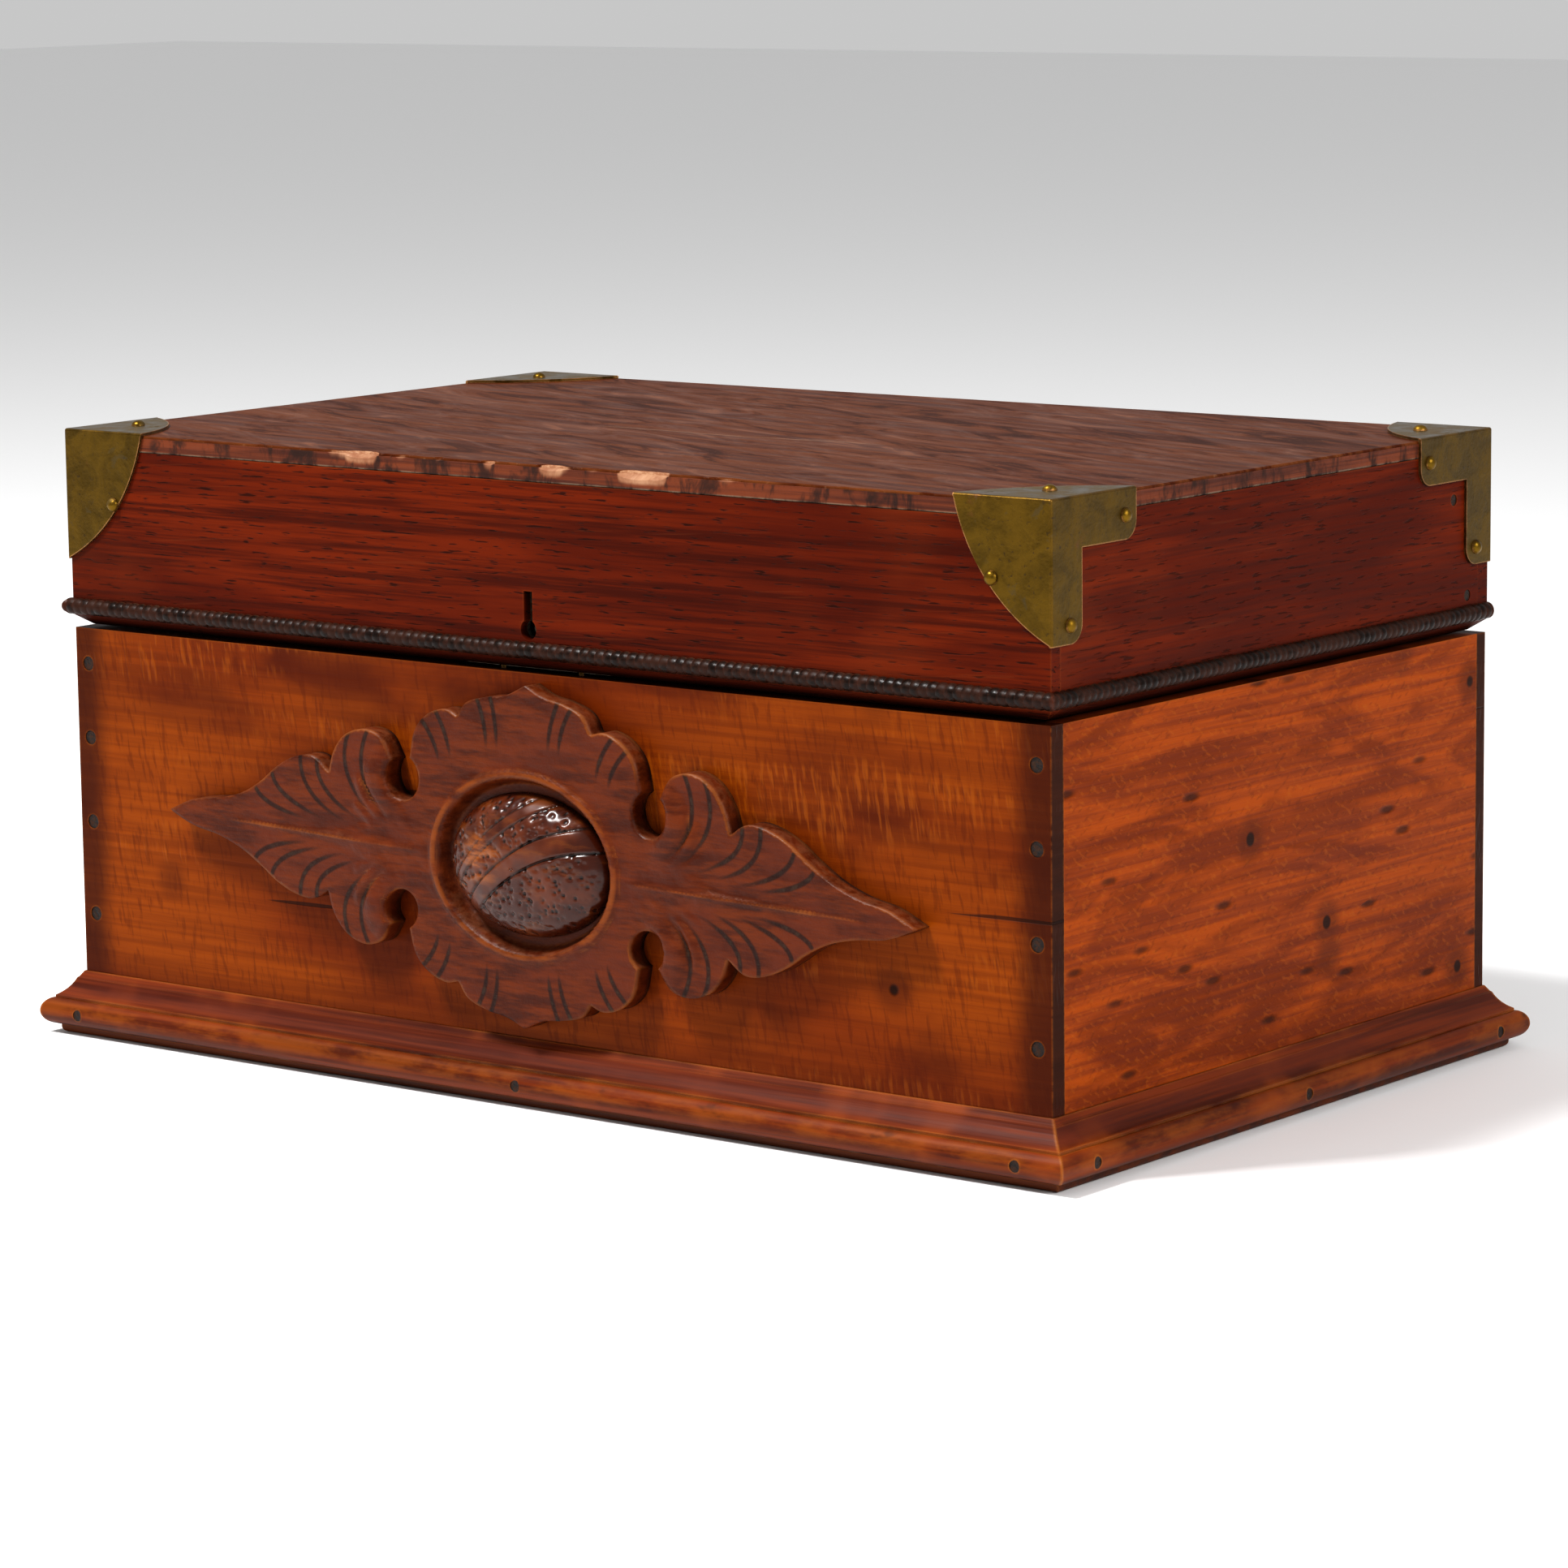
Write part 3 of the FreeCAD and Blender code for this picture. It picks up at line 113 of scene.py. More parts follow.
class Finish:
    """A material being made up, one shader node at a time."""

    def __init__(self, name, rough=0.5, specular=0.2, metal=0.0):
        self.material = bpy.data.materials.new(name)
        self.material.use_nodes = True
        self.tree = self.material.node_tree
        self.shader = self.tree.nodes["Principled BSDF"]
        self.shader.inputs["Specular IOR Level"].default_value = specular
        self.shader.inputs["Metallic"].default_value = metal
        self.shader.inputs["Roughness"].default_value = rough
        self.place = self.tree.nodes.new("ShaderNodeTexCoord").outputs["Object"]

    def put(self, socket, value):
        """Links another node's output to a socket, or sets a plain value on it."""
        if isinstance(value, bpy.types.NodeSocket):
            self.tree.links.new(value, socket)
        elif isinstance(value, tuple) and len(value) == 3 and socket.type == "RGBA":
            socket.default_value = (*value, 1)
        else:
            socket.default_value = value

    def node(self, kind, values, **settings):
        """Adds a node with its settings, and links or sets its inputs."""
        n = self.tree.nodes.new(kind)
        for name, setting in settings.items():
            setattr(n, name, setting)
        for key, value in values.items():
            self.put(n.inputs[key], value)
        return n

    def calc(self, operation, a, b=0.0):
        """A sum or product held between 0 and 1."""
        return self.node("ShaderNodeMath", {0: a, 1: b}, operation=operation, use_clamp=True).outputs[0]

    def free(self, operation, a, b=0.0):
        """A sum or product left as it comes."""
        return self.node("ShaderNodeMath", {0: a, 1: b}, operation=operation).outputs[0]

    def ease(self, x, low, high, to_low=0.0, to_high=1.0):
        """Turns low..high into to_low..to_high smoothly, and holds the ends."""
        if low > high:
            low, high, to_low, to_high = high, low, to_high, to_low
        n = self.node("ShaderNodeMapRange", {0: x, 1: low, 2: high, 3: to_low, 4: to_high})
        n.interpolation_type = "SMOOTHSTEP"
        return n.outputs[0]

    def turned(self, angles):
        """The place, turned by three angles in degrees."""
        turn = tuple(math.radians(a) for a in angles)
        return self.node("ShaderNodeMapping", {"Vector": self.place, "Rotation": turn}).outputs[0]

    def spot(self, per_metre, shift, at=None):
        """The place counted in features per metre along X, Y and Z, and moved by a shift."""
        return self.node("ShaderNodeMapping", {"Vector": at or self.place, "Location": (shift,) * 3,
                                               "Scale": per_metre}).outputs[0]

    def noise(self, per_metre, detail=2.0, rough=0.5, warp=0.0, at=None, shift=0.0):
        """Cloudy noise with its own count of features per metre along X, Y and Z."""
        return self.node("ShaderNodeTexNoise", {
            "Vector": self.spot(per_metre, shift, at), "Scale": 1.0, "Detail": detail, "Roughness": rough,
            "Distortion": warp}).outputs["Fac"]

    def cells(self, per_metre, shift=0.0):
        """Distance to the nearest of scattered points, in cells, and a random value for that point."""
        n = self.node("ShaderNodeTexVoronoi", {"Vector": self.spot(per_metre, shift), "Scale": 1.0})
        return n.outputs["Distance"], self.node("ShaderNodeSeparateColor", {0: n.outputs["Color"]}).outputs[0]

    def axis(self, letter):
        """One coordinate of the place, in metres."""
        split = self.node("ShaderNodeSeparateXYZ", {0: self.place})
        return split.outputs[letter]

    def blend(self, share, a, b, how="MIX"):
        """From colour a to colour b as the share goes from 0 to 1."""
        n = self.node("ShaderNodeMix", {}, data_type="RGBA", blend_type=how)
        self.put(n.inputs[0], share)
        self.put(n.inputs[6], a)
        self.put(n.inputs[7], b)
        return n.outputs[2]

    def glaze(self, base, colour, share, most):
        """Lays a colour over the base where the share says, and no thicker than most."""
        return self.blend(self.calc("MULTIPLY", share, most), base, colour)

    def edges(self, radius):
        """1 on sharp outer edges and corners: how far a rounded normal leans from the true one."""
        soft = self.node("ShaderNodeBevel", {"Radius": radius}, samples=4).outputs[0]
        hard = self.node("ShaderNodeNewGeometry", {}).outputs["True Normal"]
        lean = self.node("ShaderNodeVectorMath", {0: soft, 1: hard}, operation="DOT_PRODUCT").outputs["Value"]
        return self.ease(lean, 0.995, 0.86)

    def nooks(self, distance, low=0.75, high=0.25):
        """1 deep in grooves and inside corners."""
        open_share = self.node("ShaderNodeAmbientOcclusion", {"Distance": distance}, samples=6).outputs["AO"]
        return self.ease(open_share, low, high)

    def mark(self, name):
        """A number carried by the mesh's own points."""
        return self.node("ShaderNodeAttribute", {}, attribute_name=name).outputs["Fac"]

    def done(self, colour, rough=None, height=None, deep=0.0002, strength=0.6):
        """Joins colour, deepened as by old varnish, and roughness and bump to the shader."""
        deep_colour = self.node("ShaderNodeGamma", {"Color": colour, "Gamma": 1.1}).outputs[0]
        self.put(self.shader.inputs["Base Color"], self.blend(1.0, deep_colour, VARNISH, "MULTIPLY"))
        if rough is not None:
            self.put(self.shader.inputs["Roughness"], rough)
        if height is not None:
            bump = self.node("ShaderNodeBump", {"Height": height, "Distance": deep, "Strength": strength})
            self.put(self.shader.inputs["Normal"], bump.outputs[0])
        return self.material


def paint(material, *names):
    """Gives one finish to CAD nodes."""
    for name in names:
        data = nodes[name].data
        data.materials.clear()
        data.materials.append(material)


DUST = (0.23, 0.18, 0.13)
DARK = (0.018, 0.006, 0.003)


def moulding_finish(name, run):
    """Reddish stain with streaks along the run, a golden rubbed bullnose, painted shade and dust in the
    grooves.
    """
    f = Finish(name, specular=0.12)
    streaks = f.noise((9, 260, 420) if run == "X" else (260, 9, 420), 3, 0.6)
    clouds = f.noise((30, 30, 30), 3, 0.6, shift=3.0)
    base = f.blend(f.ease(streaks, 0.35, 0.68), (0.085, 0.014, 0.003), (0.235, 0.045, 0.006))
    base = f.blend(f.ease(clouds, 0.52, 0.72, 0, 0.8), base, (0.33, 0.075, 0.008))
    height = f.axis("Z")
    nose = f.calc("MULTIPLY", f.ease(height, 0.0035, 0.0062), f.ease(height, 0.0095, 0.0080))
    rubbed = f.calc("MULTIPLY", nose, f.ease(f.noise((60, 60, 200), 4, 0.65, shift=7.0), 0.36, 0.62))
    base = f.glaze(base, (0.38, 0.110, 0.010), rubbed, 0.50)
    cove = f.calc("MULTIPLY", f.ease(height, 0.0098, 0.0112), f.ease(height, 0.0146, 0.0132))
    base = f.blend(f.calc("MULTIPLY", cove, f.ease(clouds, 0.4, 0.6, 0.15, 0.6)), base, (0.135, 0.026, 0.012))
    smudge = f.ease(f.noise((45, 45, 90), 4, 0.7, shift=11.0), 0.63, 0.78)
    base = f.glaze(base, DARK, smudge, 0.7)
    nook = f.nooks(0.004, 0.62, 0.30)
    dusty = f.ease(f.noise((170, 170, 260), 4, 0.7, shift=5.0), 0.50, 0.66)
    # painted shade: near black laid deep in the grooves and corners; grey dust goes over it where the noise
    # says
    base = f.glaze(base, DARK, nook, 0.85)
    base = f.glaze(base, DUST, f.calc("MULTIPLY", nook, dusty), 0.75)
    worn = f.calc("MULTIPLY", f.edges(0.0009), f.ease(clouds, 0.35, 0.6))
    base = f.glaze(base, (0.50, 0.19, 0.04), worn, 0.6)
    rough = f.free("ADD", f.ease(streaks, 0.2, 0.8, 0.34, 0.52), f.calc("MULTIPLY", nook, 0.3))
    return f.done(base, rough, f.free("ADD", streaks, clouds), 0.00025)


paint(moulding_finish("moulding_stain_long", "X"), "base_moulding_front", "base_moulding_back")
paint(moulding_finish("moulding_stain_short", "Y"), "base_moulding_left", "base_moulding_right")

f = Finish("base_board_wood", specular=0.2)
streaks = f.noise((9, 240, 300), 3, 0.6)
base = f.blend(f.ease(streaks, 0.3, 0.7), (0.06, 0.012, 0.003), (0.19, 0.045, 0.008))
base = f.glaze(base, (0.36, 0.12, 0.02), f.edges(0.0012), 0.5)
paint(f.done(base, f.ease(streaks, 0.3, 0.7, 0.5, 0.65), streaks, 0.0003), "base_board")


# ---- case boards -----------------------------------------------------------------------------------
# Four boards of a pale hardwood, stained golden orange and waxed.  Front and back lap over the ends of
# the sides and are nailed through; rays fleck the front, the sides have plain wavy grain.
HONEY = (0.330, 0.078, 0.0030)
AMBER = (0.235, 0.045, 0.0020)
RUSSET = (0.110, 0.017, 0.0018)
FLECK = (0.46, 0.135, 0.009)


def scars(f, base, shift):
    """Small dark knots with brown halos, and a few short dashes along the grain."""
    far, lot = f.cells((26, 26, 26), shift=shift)
    some = f.ease(lot, 0.62, 0.66)
    halo = f.calc("MULTIPLY", f.ease(far, 0.20, 0.07), some)
    core = f.calc("MULTIPLY", f.ease(far, 0.055, 0.035), some)
    base = f.glaze(base, (0.11, 0.021, 0.003), halo, 0.55)
    return f.blend(f.calc("MULTIPLY", core, 0.9), base, DARK), core


def rayed_finish(name, shift):
    """Front and back boards: light upright ray flecks in level bands over cloudy russet and honey."""
    f = Finish(name, specular=0.06)
    clouds = f.noise((16, 16, 34), 4, 0.6, 0.6, shift=shift)
    base = f.blend(f.ease(clouds, 0.36, 0.60), RUSSET, AMBER)
    base = f.blend(f.ease(f.noise((9, 9, 22), 3, 0.5, shift=shift + 4), 0.42, 0.62), base, HONEY)
    grain = f.noise((14, 14, 620), 4, 0.6, shift=shift + 1)
    base = f.blend(f.ease(grain, 0.35, 0.65, 0.35, 0.0), base, RUSSET)
    slant = f.turned((0, 9, 0))
    bands = f.ease(f.noise((7, 7, 62), 3, 0.6, 0.3, shift=shift + 8), 0.44, 0.60)
    flecks = f.ease(f.noise((900, 900, 120), 2, 0.5, 0.25, at=slant, shift=shift + 2), 0.48, 0.66)
    flecks = f.calc("MULTIPLY", flecks, bands)
    base = f.glaze(base, FLECK, flecks, 0.38)
    dark_flecks = f.ease(f.noise((900, 900, 150), 2, 0.5, 0.3, at=slant, shift=shift + 6), 0.52, 0.68)
    base = f.glaze(base, RUSSET, dark_flecks, 0.38)
    base, core = scars(f, base, shift + 3)
    side = f.free("ABSOLUTE", f.axis("X"))
    lap = f.ease(f.free("ADD", side, f.free("MULTIPLY", clouds, 0.006)), 0.1405, 0.1490)
    base = f.glaze(base, (0.062, 0.011, 0.002), lap, 0.78)
    end_grain = f.blend(f.noise((300, 60, 300), 3), (0.028, 0.007, 0.002), (0.075, 0.018, 0.004))
    base = f.blend(f.ease(side, 0.14985, 0.14995), base, end_grain)
    low = f.ease(f.free("ADD", f.axis("Z"), f.free("MULTIPLY", clouds, 0.012)), 0.030, 0.020)
    base = f.glaze(base, RUSSET, low, 0.45)
    worn = f.calc("MULTIPLY", f.edges(0.0008), f.ease(grain, 0.3, 0.6))
    base = f.glaze(base, (0.40, 0.13, 0.02), worn, 0.5)
    # painted shade: darker deep in inside corners, from an ambient-occlusion mask
    nook = f.nooks(0.006, 0.55, 0.20)
    base = f.glaze(base, DARK, nook, 0.55)
    crack = f.ease(f.noise((10, 10, 260), 2, 0.4, 0.2, shift=shift + 12), 0.735, 0.75)
    base = f.glaze(base, DARK, crack, 0.7)
    rough = f.ease(f.free("ADD", grain, flecks), 0.3, 1.2, 0.46, 0.34)
    raised = f.free("ADD", f.free("MULTIPLY", grain, 0.6), f.free("MULTIPLY", flecks, 0.35))
    height = f.free("SUBTRACT", raised, f.free("ADD", core, crack))
    return f.done(base, rough, height, 0.00022)


def side_finish(name, shift):
    """Side boards: level grain in wavy bands with fine crossed flecks, short dark dashes and a hair crack."""
    f = Finish(name, specular=0.06)
    waves = f.noise((20, 15, 70), 4, 0.55, 1.2, shift=shift)
    base = f.blend(f.ease(waves, 0.38, 0.60), AMBER, (0.43, 0.092, 0.0038))
    grain = f.noise((12, 11, 520), 5, 0.65, 0.4, shift=shift + 1)
    base = f.blend(f.ease(grain, 0.32, 0.62, 0.65, 0.0), base, (0.17, 0.026, 0.002))
    lean = f.noise((400, 330, 900), 2, 0.5, at=f.turned((28, 0, 0)), shift=shift + 2)
    base = f.blend(f.ease(lean, 0.55, 0.68, 0.0, 0.30), base, FLECK)
    back_lean = f.noise((400, 330, 900), 2, 0.5, at=f.turned((-28, 0, 0)), shift=shift + 5)
    base = f.blend(f.ease(back_lean, 0.56, 0.70, 0.0, 0.30), base, RUSSET)
    far, lot = f.cells((60, 55, 190), shift=shift + 7)
    dashes = f.calc("MULTIPLY", f.ease(far, 0.26, 0.08), f.ease(lot, 0.88, 0.92))
    base = f.glaze(base, (0.035, 0.008, 0.002), dashes, 0.75)
    base, _ = scars(f, base, shift + 3)
    crack = f.ease(f.noise((8, 7, 190), 2, 0.4, 0.25, shift=shift + 12), 0.80, 0.82)
    base = f.glaze(base, DARK, crack, 0.8)
    # painted shade: darker deep in inside corners, from an ambient-occlusion mask
    base = f.glaze(base, DARK, f.nooks(0.006, 0.55, 0.2), 0.55)
    worn = f.calc("MULTIPLY", f.edges(0.0008), f.ease(waves, 0.3, 0.6))
    base = f.glaze(base, (0.42, 0.14, 0.02), worn, 0.5)
    raised = f.free("ADD", grain, f.free("MULTIPLY", lean, 0.3))
    height = f.free("SUBTRACT", raised, f.free("ADD", dashes, crack))
    return f.done(base, f.ease(grain, 0.3, 0.7, 0.36, 0.50), height, 0.00022)


paint(rayed_finish("case_front_stain", 0.0), "case_front_board")
paint(rayed_finish("case_back_stain", 31.0), "case_back_board")
paint(side_finish("case_side_stain", 0.0), "case_right_board", "case_left_board")


# ---- nails -----------------------------------------------------------------------------------------
# Cut nails through the case's laps, brads through the bullnose and two pairs in the lid's sides.
# Their sunk heads are filled and stained black-brown, in rough rings.
f = Finish("nail_filler", specular=0.25)
lumps = f.noise((900, 900, 900), 3, 0.6)
base = f.blend(f.ease(lumps, 0.35, 0.65), (0.010, 0.005, 0.003), (0.060, 0.022, 0.008))
paint(f.done(base, f.ease(lumps, 0.3, 0.7, 0.4, 0.75), lumps, 0.0006),
      "case_nails", "moulding_nails", "lid_nails")


# ---- carved ornament -------------------------------------------------------------------------------
# One carved board glued to the front: two long leaves, four lobes with round eyes, shells above and below,
# and an oval dish with a raised rim.  Gouge cuts vein it; the high places are rubbed golden, the low dusty.
# The gouges and hollows carry painted shade, and the faces turned upward carry painted light with dust.
MM = 0.001                                  # the carving's sizes and all later ones are in millimetres
ORN_X, ORN_Z, ORN_TILT = 1.5, 58.2, math.radians(-1.5)
FACE_Y = -91.5
ORN_T, TIP_T, TIP_U = 5.7, 4.2, 114.8       # thickness in the middle and at the tips, and half the length
DISH, DISH_FLOOR, MOUTH_R = (27.0, 21.0), 2.0, 24.0
RIM_W, RIM_H = 1.6, 0.7
LEAF_FROM, LEAF_EDGE = 42, 1.7
LEAF_AT = (42, 52, 62, 73, 84.5, 98.5, 107, TIP_U)
LEAF_HALF = (26, 24, 18, 17.4, 10.6, 4.9, 3.5, 1.0)
LOBE_AT, LOBE_SPREAD, LOBE_RISE = (50.5, 15.5), (9.0, 9.5), 2.6
VALLEY_U, VALLEY_W, VALLEY_DEEP = 61.5, 4.5, 1.3            # between a lobe and its leaf
SHELL_HALF, SHELL_FALL, FLUTES, FLUTE_DEEP = 40, 3.2, 13.0, 1.5
RIB_W, RIB_RISE, RIB_FROM, RIB_TO = 0.9, 0.55, 29, 108
GOUGE_W, GOUGE_DEEP, TROUGH_W, TROUGH_DEEP = 0.74, 1.35, 2.6, 0.6
SHOULDER, SHOULDER_DROP = 1.6, 0.9
LEAF = ((107.0, 3.3), (98.5, 4.7), (91.0, 7.0), (84.5, 10.5), (79.0, 14.3), (73.0, 17.0), (67.0, 17.6),
        (61.9, 14.5))
LOBE = ((61.9, 14.5), (60.0, 20.0), (56.2, 24.4), (50.5, 26.4), (45.0, 25.0), (41.6, 20.1))
SHELL = ((35.4, 20.8), (33.6, 27.5), (29.5, 31.6), (24.5, 33.2), (20.5, 32.2))
FAN = ((20.5, 32.2), (17.5, 36.0), (11.5, 37.9), (5.5, 38.9), (0.0, 41.3))
NOTCH = (38.0, 16.2, 5.3)
VEINS = (
    ((86.0, 8.6), (79.5, 4.8), (66.0, 2.6)), ((80.5, 12.4), (74.5, 6.8), (60.0, 2.8)),
    ((71.0, 17.4), (67.0, 8.4), (53.0, 3.2)), ((65.6, 17.2), (62.0, 9.6), (48.5, 4.0)),
    ((54.8, 25.4), (55.6, 15.0), (46.5, 5.4)), ((49.0, 26.0), (50.6, 15.4), (43.0, 6.4)),
    ((31.6, 30.0), (27.6, 25.0), (26.0, 19.6)), ((27.4, 32.6), (23.8, 27.0), (22.4, 21.0)),
    ((14.4, 37.0), (11.8, 31.0), (11.2, 24.4)), ((10.4, 38.0), (8.4, 31.6), (8.0, 25.0)))


def flowing(points, per_span=14):
    """A smooth line through points: each span is a cubic whose end slopes follow the neighbouring points."""
    p = np.array(points, float)
    p = np.vstack([2 * p[0] - p[1], p, 2 * p[-1] - p[-2]])
    t = np.arange(per_span)[None, :, None] / per_span
    a, b, c, d = (p[i:len(p) - 3 + i][:, None, :] for i in range(4))
    spans = 0.5 * (2 * b + (c - a) * t + (2 * a - 5 * b + 4 * c - d) * t ** 2
                   + (3 * b - a - 3 * c + d) * t ** 3)
    return np.vstack([spans.reshape(-1, 2), p[-2]])


def quarter_outline():
    """From the leaf's tip to the shell's point: flowing runs between cusps, and the round notch's arc."""
    nu, nv, nr = NOTCH
    start = math.atan2(LOBE[-1][1] - nv, LOBE[-1][0] - nu)
    end = math.atan2(SHELL[0][1] - nv, SHELL[0][0] - nu) - 2 * math.pi
    turn = np.linspace(start, end, 46)[1:-1]
    eye = np.column_stack([nu + nr * np.cos(turn), nv + nr * np.sin(turn)])
    leaf = flowing(((TIP_U, 0.15),) + LEAF)[:-1]
    return np.vstack([leaf, flowing(LOBE), eye, flowing(SHELL)[:-1], flowing(FAN)])


def by_hand(points):
    """Moves points as a hand-sawn outline strays: the upper half is a little fuller, and both coordinates
    follow slow sine waves of up to 0.45 mm."""
    u, v = points[..., 0], points[..., 1]
    fuller = np.where(v > 0, 1.045, 0.945)
    swayed = u + 0.45 * np.sin(v / 7.0 + 1.0) * (1 - (u / TIP_U) ** 2)
    waved = v * fuller + 0.35 * np.sin(u / 6.3) * np.minimum(np.abs(v) / 10, 1)
    return np.stack([swayed, waved], -1)


quarter = quarter_outline()
flip_u, flip_v = np.array([-1, 1]), np.array([1, -1])
outline = by_hand(np.vstack([quarter, (quarter * flip_u)[::-1][1:], (-quarter)[1:],
                             (quarter * flip_v)[::-1][1:]]))
outline = outline[np.hypot(*(outline - np.roll(outline, 1, 0)).T) > 0.05]


def nearest(points, line, closed):
    """Distance from each point to a broken line, and how far along the line that nearest place is, 0 to 1."""
    a = line if closed else line[:-1]
    b = np.roll(line, -1, 0) if closed else line[1:]
    best = np.full(len(points), 1e9)
    where = np.zeros(len(points))
    run = b - a
    length2 = np.maximum((run ** 2).sum(1), 1e-12)
    for low in range(0, len(points), 6000):
        part = points[low:low + 6000, None, :]
        t = np.clip(((part - a) * run).sum(2) / length2, 0, 1)
        gap = np.hypot(*np.moveaxis(part - a - t[..., None] * run, 2, 0))
        pick = gap.argmin(1)
        rows = np.arange(len(pick))
        best[low:low + 6000] = gap[rows, pick]
        where[low:low + 6000] = (pick + t[rows, pick]) / len(a)
    return best, where


def inside(points, ring):
    """True where a level ray from the point crosses the ring an odd number of times."""
    x0, y0 = ring.T
    x1, y1 = np.roll(ring, -1, 0).T
    found = np.zeros(len(points), bool)
    for low in range(0, len(points), 6000):
        px, py = points[low:low + 6000, :1], points[low:low + 6000, 1:]
        spans = (y0 > py) != (y1 > py)
        cross = px < (x1 - x0) * (py - y0) / np.where(y1 == y0, 1e-12, y1 - y0) + x0
        found[low:low + 6000] = (spans & cross).sum(1) % 2 == 1
    return found


def hand_noise(u, v, pitch, seed):
    """Smooth random heights -1..1: values on a square lattice, blended with an ease between neighbours."""
    table = np.random.default_rng(seed).uniform(-1, 1, (257, 257))
    a, b = u / pitch + 97.3, v / pitch + 61.7
    i, j = np.floor(a).astype(int), np.floor(b).astype(int)
    s, t = a - i, b - j
    s, t = s * s * (3 - 2 * s), t * t * (3 - 2 * t)
    i, j = i % 256, j % 256
    low = table[i, j] * (1 - s) + table[i + 1, j] * s
    high = table[i, j + 1] * (1 - s) + table[i + 1, j + 1] * s
    return low * (1 - t) + high * t


def carve(points, edge_gap):
    """Height over the board, with shares of gouge and rubbed ridge.

    Ridge height falls from the middle to the tips; leaf faces fall from it to a thin edge; lobes are domed
    and shells fluted by a cosine of the angle round the middle; the outline is rounded over its shoulder;
    every vein is a round groove tapered at its ends; the dish is an oval step with a rounded rim."""
    u, v = points.T
    far_u, far_v = np.abs(u), np.abs(v)
    out = np.clip((far_u - LEAF_FROM) / (TIP_U - LEAF_FROM), 0, 1)
    in_leaf = np.clip(out * 5, 0, 1)
    ridge_h = ORN_T + (TIP_T - ORN_T) * out + 0.7 * in_leaf
    down = np.clip(far_v / np.interp(far_u, LEAF_AT, LEAF_HALF), 0, 1) ** 0.85
    h = ridge_h - in_leaf * (ridge_h - LEAF_EDGE) * down
    lobe = np.exp(-((far_u - LOBE_AT[0]) / LOBE_SPREAD[0]) ** 2 - ((far_v - LOBE_AT[1]) / LOBE_SPREAD[1]) ** 2)
    valley = np.exp(-((far_u - VALLEY_U) / VALLEY_W) ** 2) * np.clip((far_v - 6) / 8, 0, 1)
    h += LOBE_RISE * lobe - VALLEY_DEEP * valley
    oval = np.hypot(u / DISH[0], v / DISH[1])
    away = np.clip(oval - 1.12, 0, 3)
    in_shell = np.clip((SHELL_HALF - far_u) / 5, 0, 1) * np.clip((far_v - 6) / 10, 0, 1)
    flute = 0.5 + 0.5 * np.cos(np.arctan2(far_v, far_u * 1.1) * FLUTES + 1.6)
    h -= in_shell * (SHELL_FALL * away + FLUTE_DEEP * np.clip(away * 3, 0, 1) * flute)
    rib = np.exp(-far_v / RIB_W) * np.clip((far_u - RIB_FROM) / 6, 0, 1) * np.clip((RIB_TO - far_u) / 10, 0, 1)
    h += RIB_RISE * rib
    gouge, trough = np.zeros(len(points)), np.zeros(len(points))
    t = np.linspace(0, 1, 22)[:, None]
    for start, middle, end in np.array(VEINS):
        curve = (1 - t) ** 2 * start + 2 * t * (1 - t) * (2 * middle - (start + end) / 2) + t ** 2 * end
        for flip in ((-1, -1), (-1, 1), (1, -1), (1, 1)):
            line = by_hand(curve * np.array(flip))
            near = np.flatnonzero(((points > line.min(0) - 6) & (points < line.max(0) + 6)).all(1))
            gap, along = nearest(points[near], line, False)
            taper = np.clip((1 - along) * 2.2, 0, 1) ** 0.7
            gouge[near] = np.maximum(gouge[near], taper * np.exp(-(gap / GOUGE_W) ** 2))
            trough[near] = np.maximum(trough[near], taper * np.exp(-(gap / TROUGH_W) ** 2))
    h -= GOUGE_DEEP * gouge + TROUGH_DEEP * trough
    h += 0.10 * hand_noise(u, v, 2.6, 5) + 0.06 * hand_noise(u, v, 0.9, 6)
    into_edge = SHOULDER - np.minimum(edge_gap, SHOULDER)
    h -= SHOULDER_DROP * (SHOULDER - np.sqrt(np.maximum(SHOULDER ** 2 - into_edge ** 2, 0)))
    from_mouth = (oval - 1) * MOUTH_R
    ring = np.sqrt(np.clip(1 - ((from_mouth - RIM_W / 2 - 0.1) / (RIM_W / 2 + 0.5)) ** 2, 0, 1))
    rim = ORN_T - 0.1 + (RIM_H + 0.1) * ring - 0.6 * (ring <= 0) * (from_mouth < 2.4)
    h = np.where(from_mouth > -0.2, np.maximum(h, rim), h)
    wall = np.clip((from_mouth + 1.9) / 1.7, 0, 1)
    floor_h = DISH_FLOOR + (ORN_T + 0.35 - DISH_FLOOR) * wall ** 1.4 + 0.08 * hand_noise(u, v, 1.4, 9)
    h = np.where(from_mouth < -0.2, floor_h, h)
    ridge = np.maximum(rib, ring * (from_mouth > -0.2) * (from_mouth < 3))
    return h, np.clip(gouge, 0, 1), np.clip(ridge, 0, 1)


def on_front(uv, proud):
    """Places the carving's own plane on the case's front face, turned by its slight tilt, in metres."""
    u, v = uv.T
    x = ORN_X + u * math.cos(ORN_TILT) - v * math.sin(ORN_TILT)
    z = ORN_Z + u * math.sin(ORN_TILT) + v * math.cos(ORN_TILT)
    return np.column_stack([x, FACE_Y - proud, z]) * MM


def new_piece(name, body, points, faces, marks=None, smooth=True):
    """A mesh object at the origin from arrays, on a body, with numbers carried by its points."""
    mesh = bpy.data.meshes.new(name)
    mesh.from_pydata(points.tolist(), [], faces.tolist() if isinstance(faces, np.ndarray) else faces)
    mesh.validate()
    for key, values in (marks or {}).items():
        mesh.attributes.new(key, "FLOAT", "POINT").data.foreach_set("value", np.asarray(values, np.float32))
    mesh.polygons.foreach_set("use_smooth", np.full(len(mesh.polygons), smooth))
    mesh.update()
    piece = bpy.data.objects.new(name, mesh)
    bpy.context.scene.collection.objects.link(piece)
    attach(piece, body)
    return piece


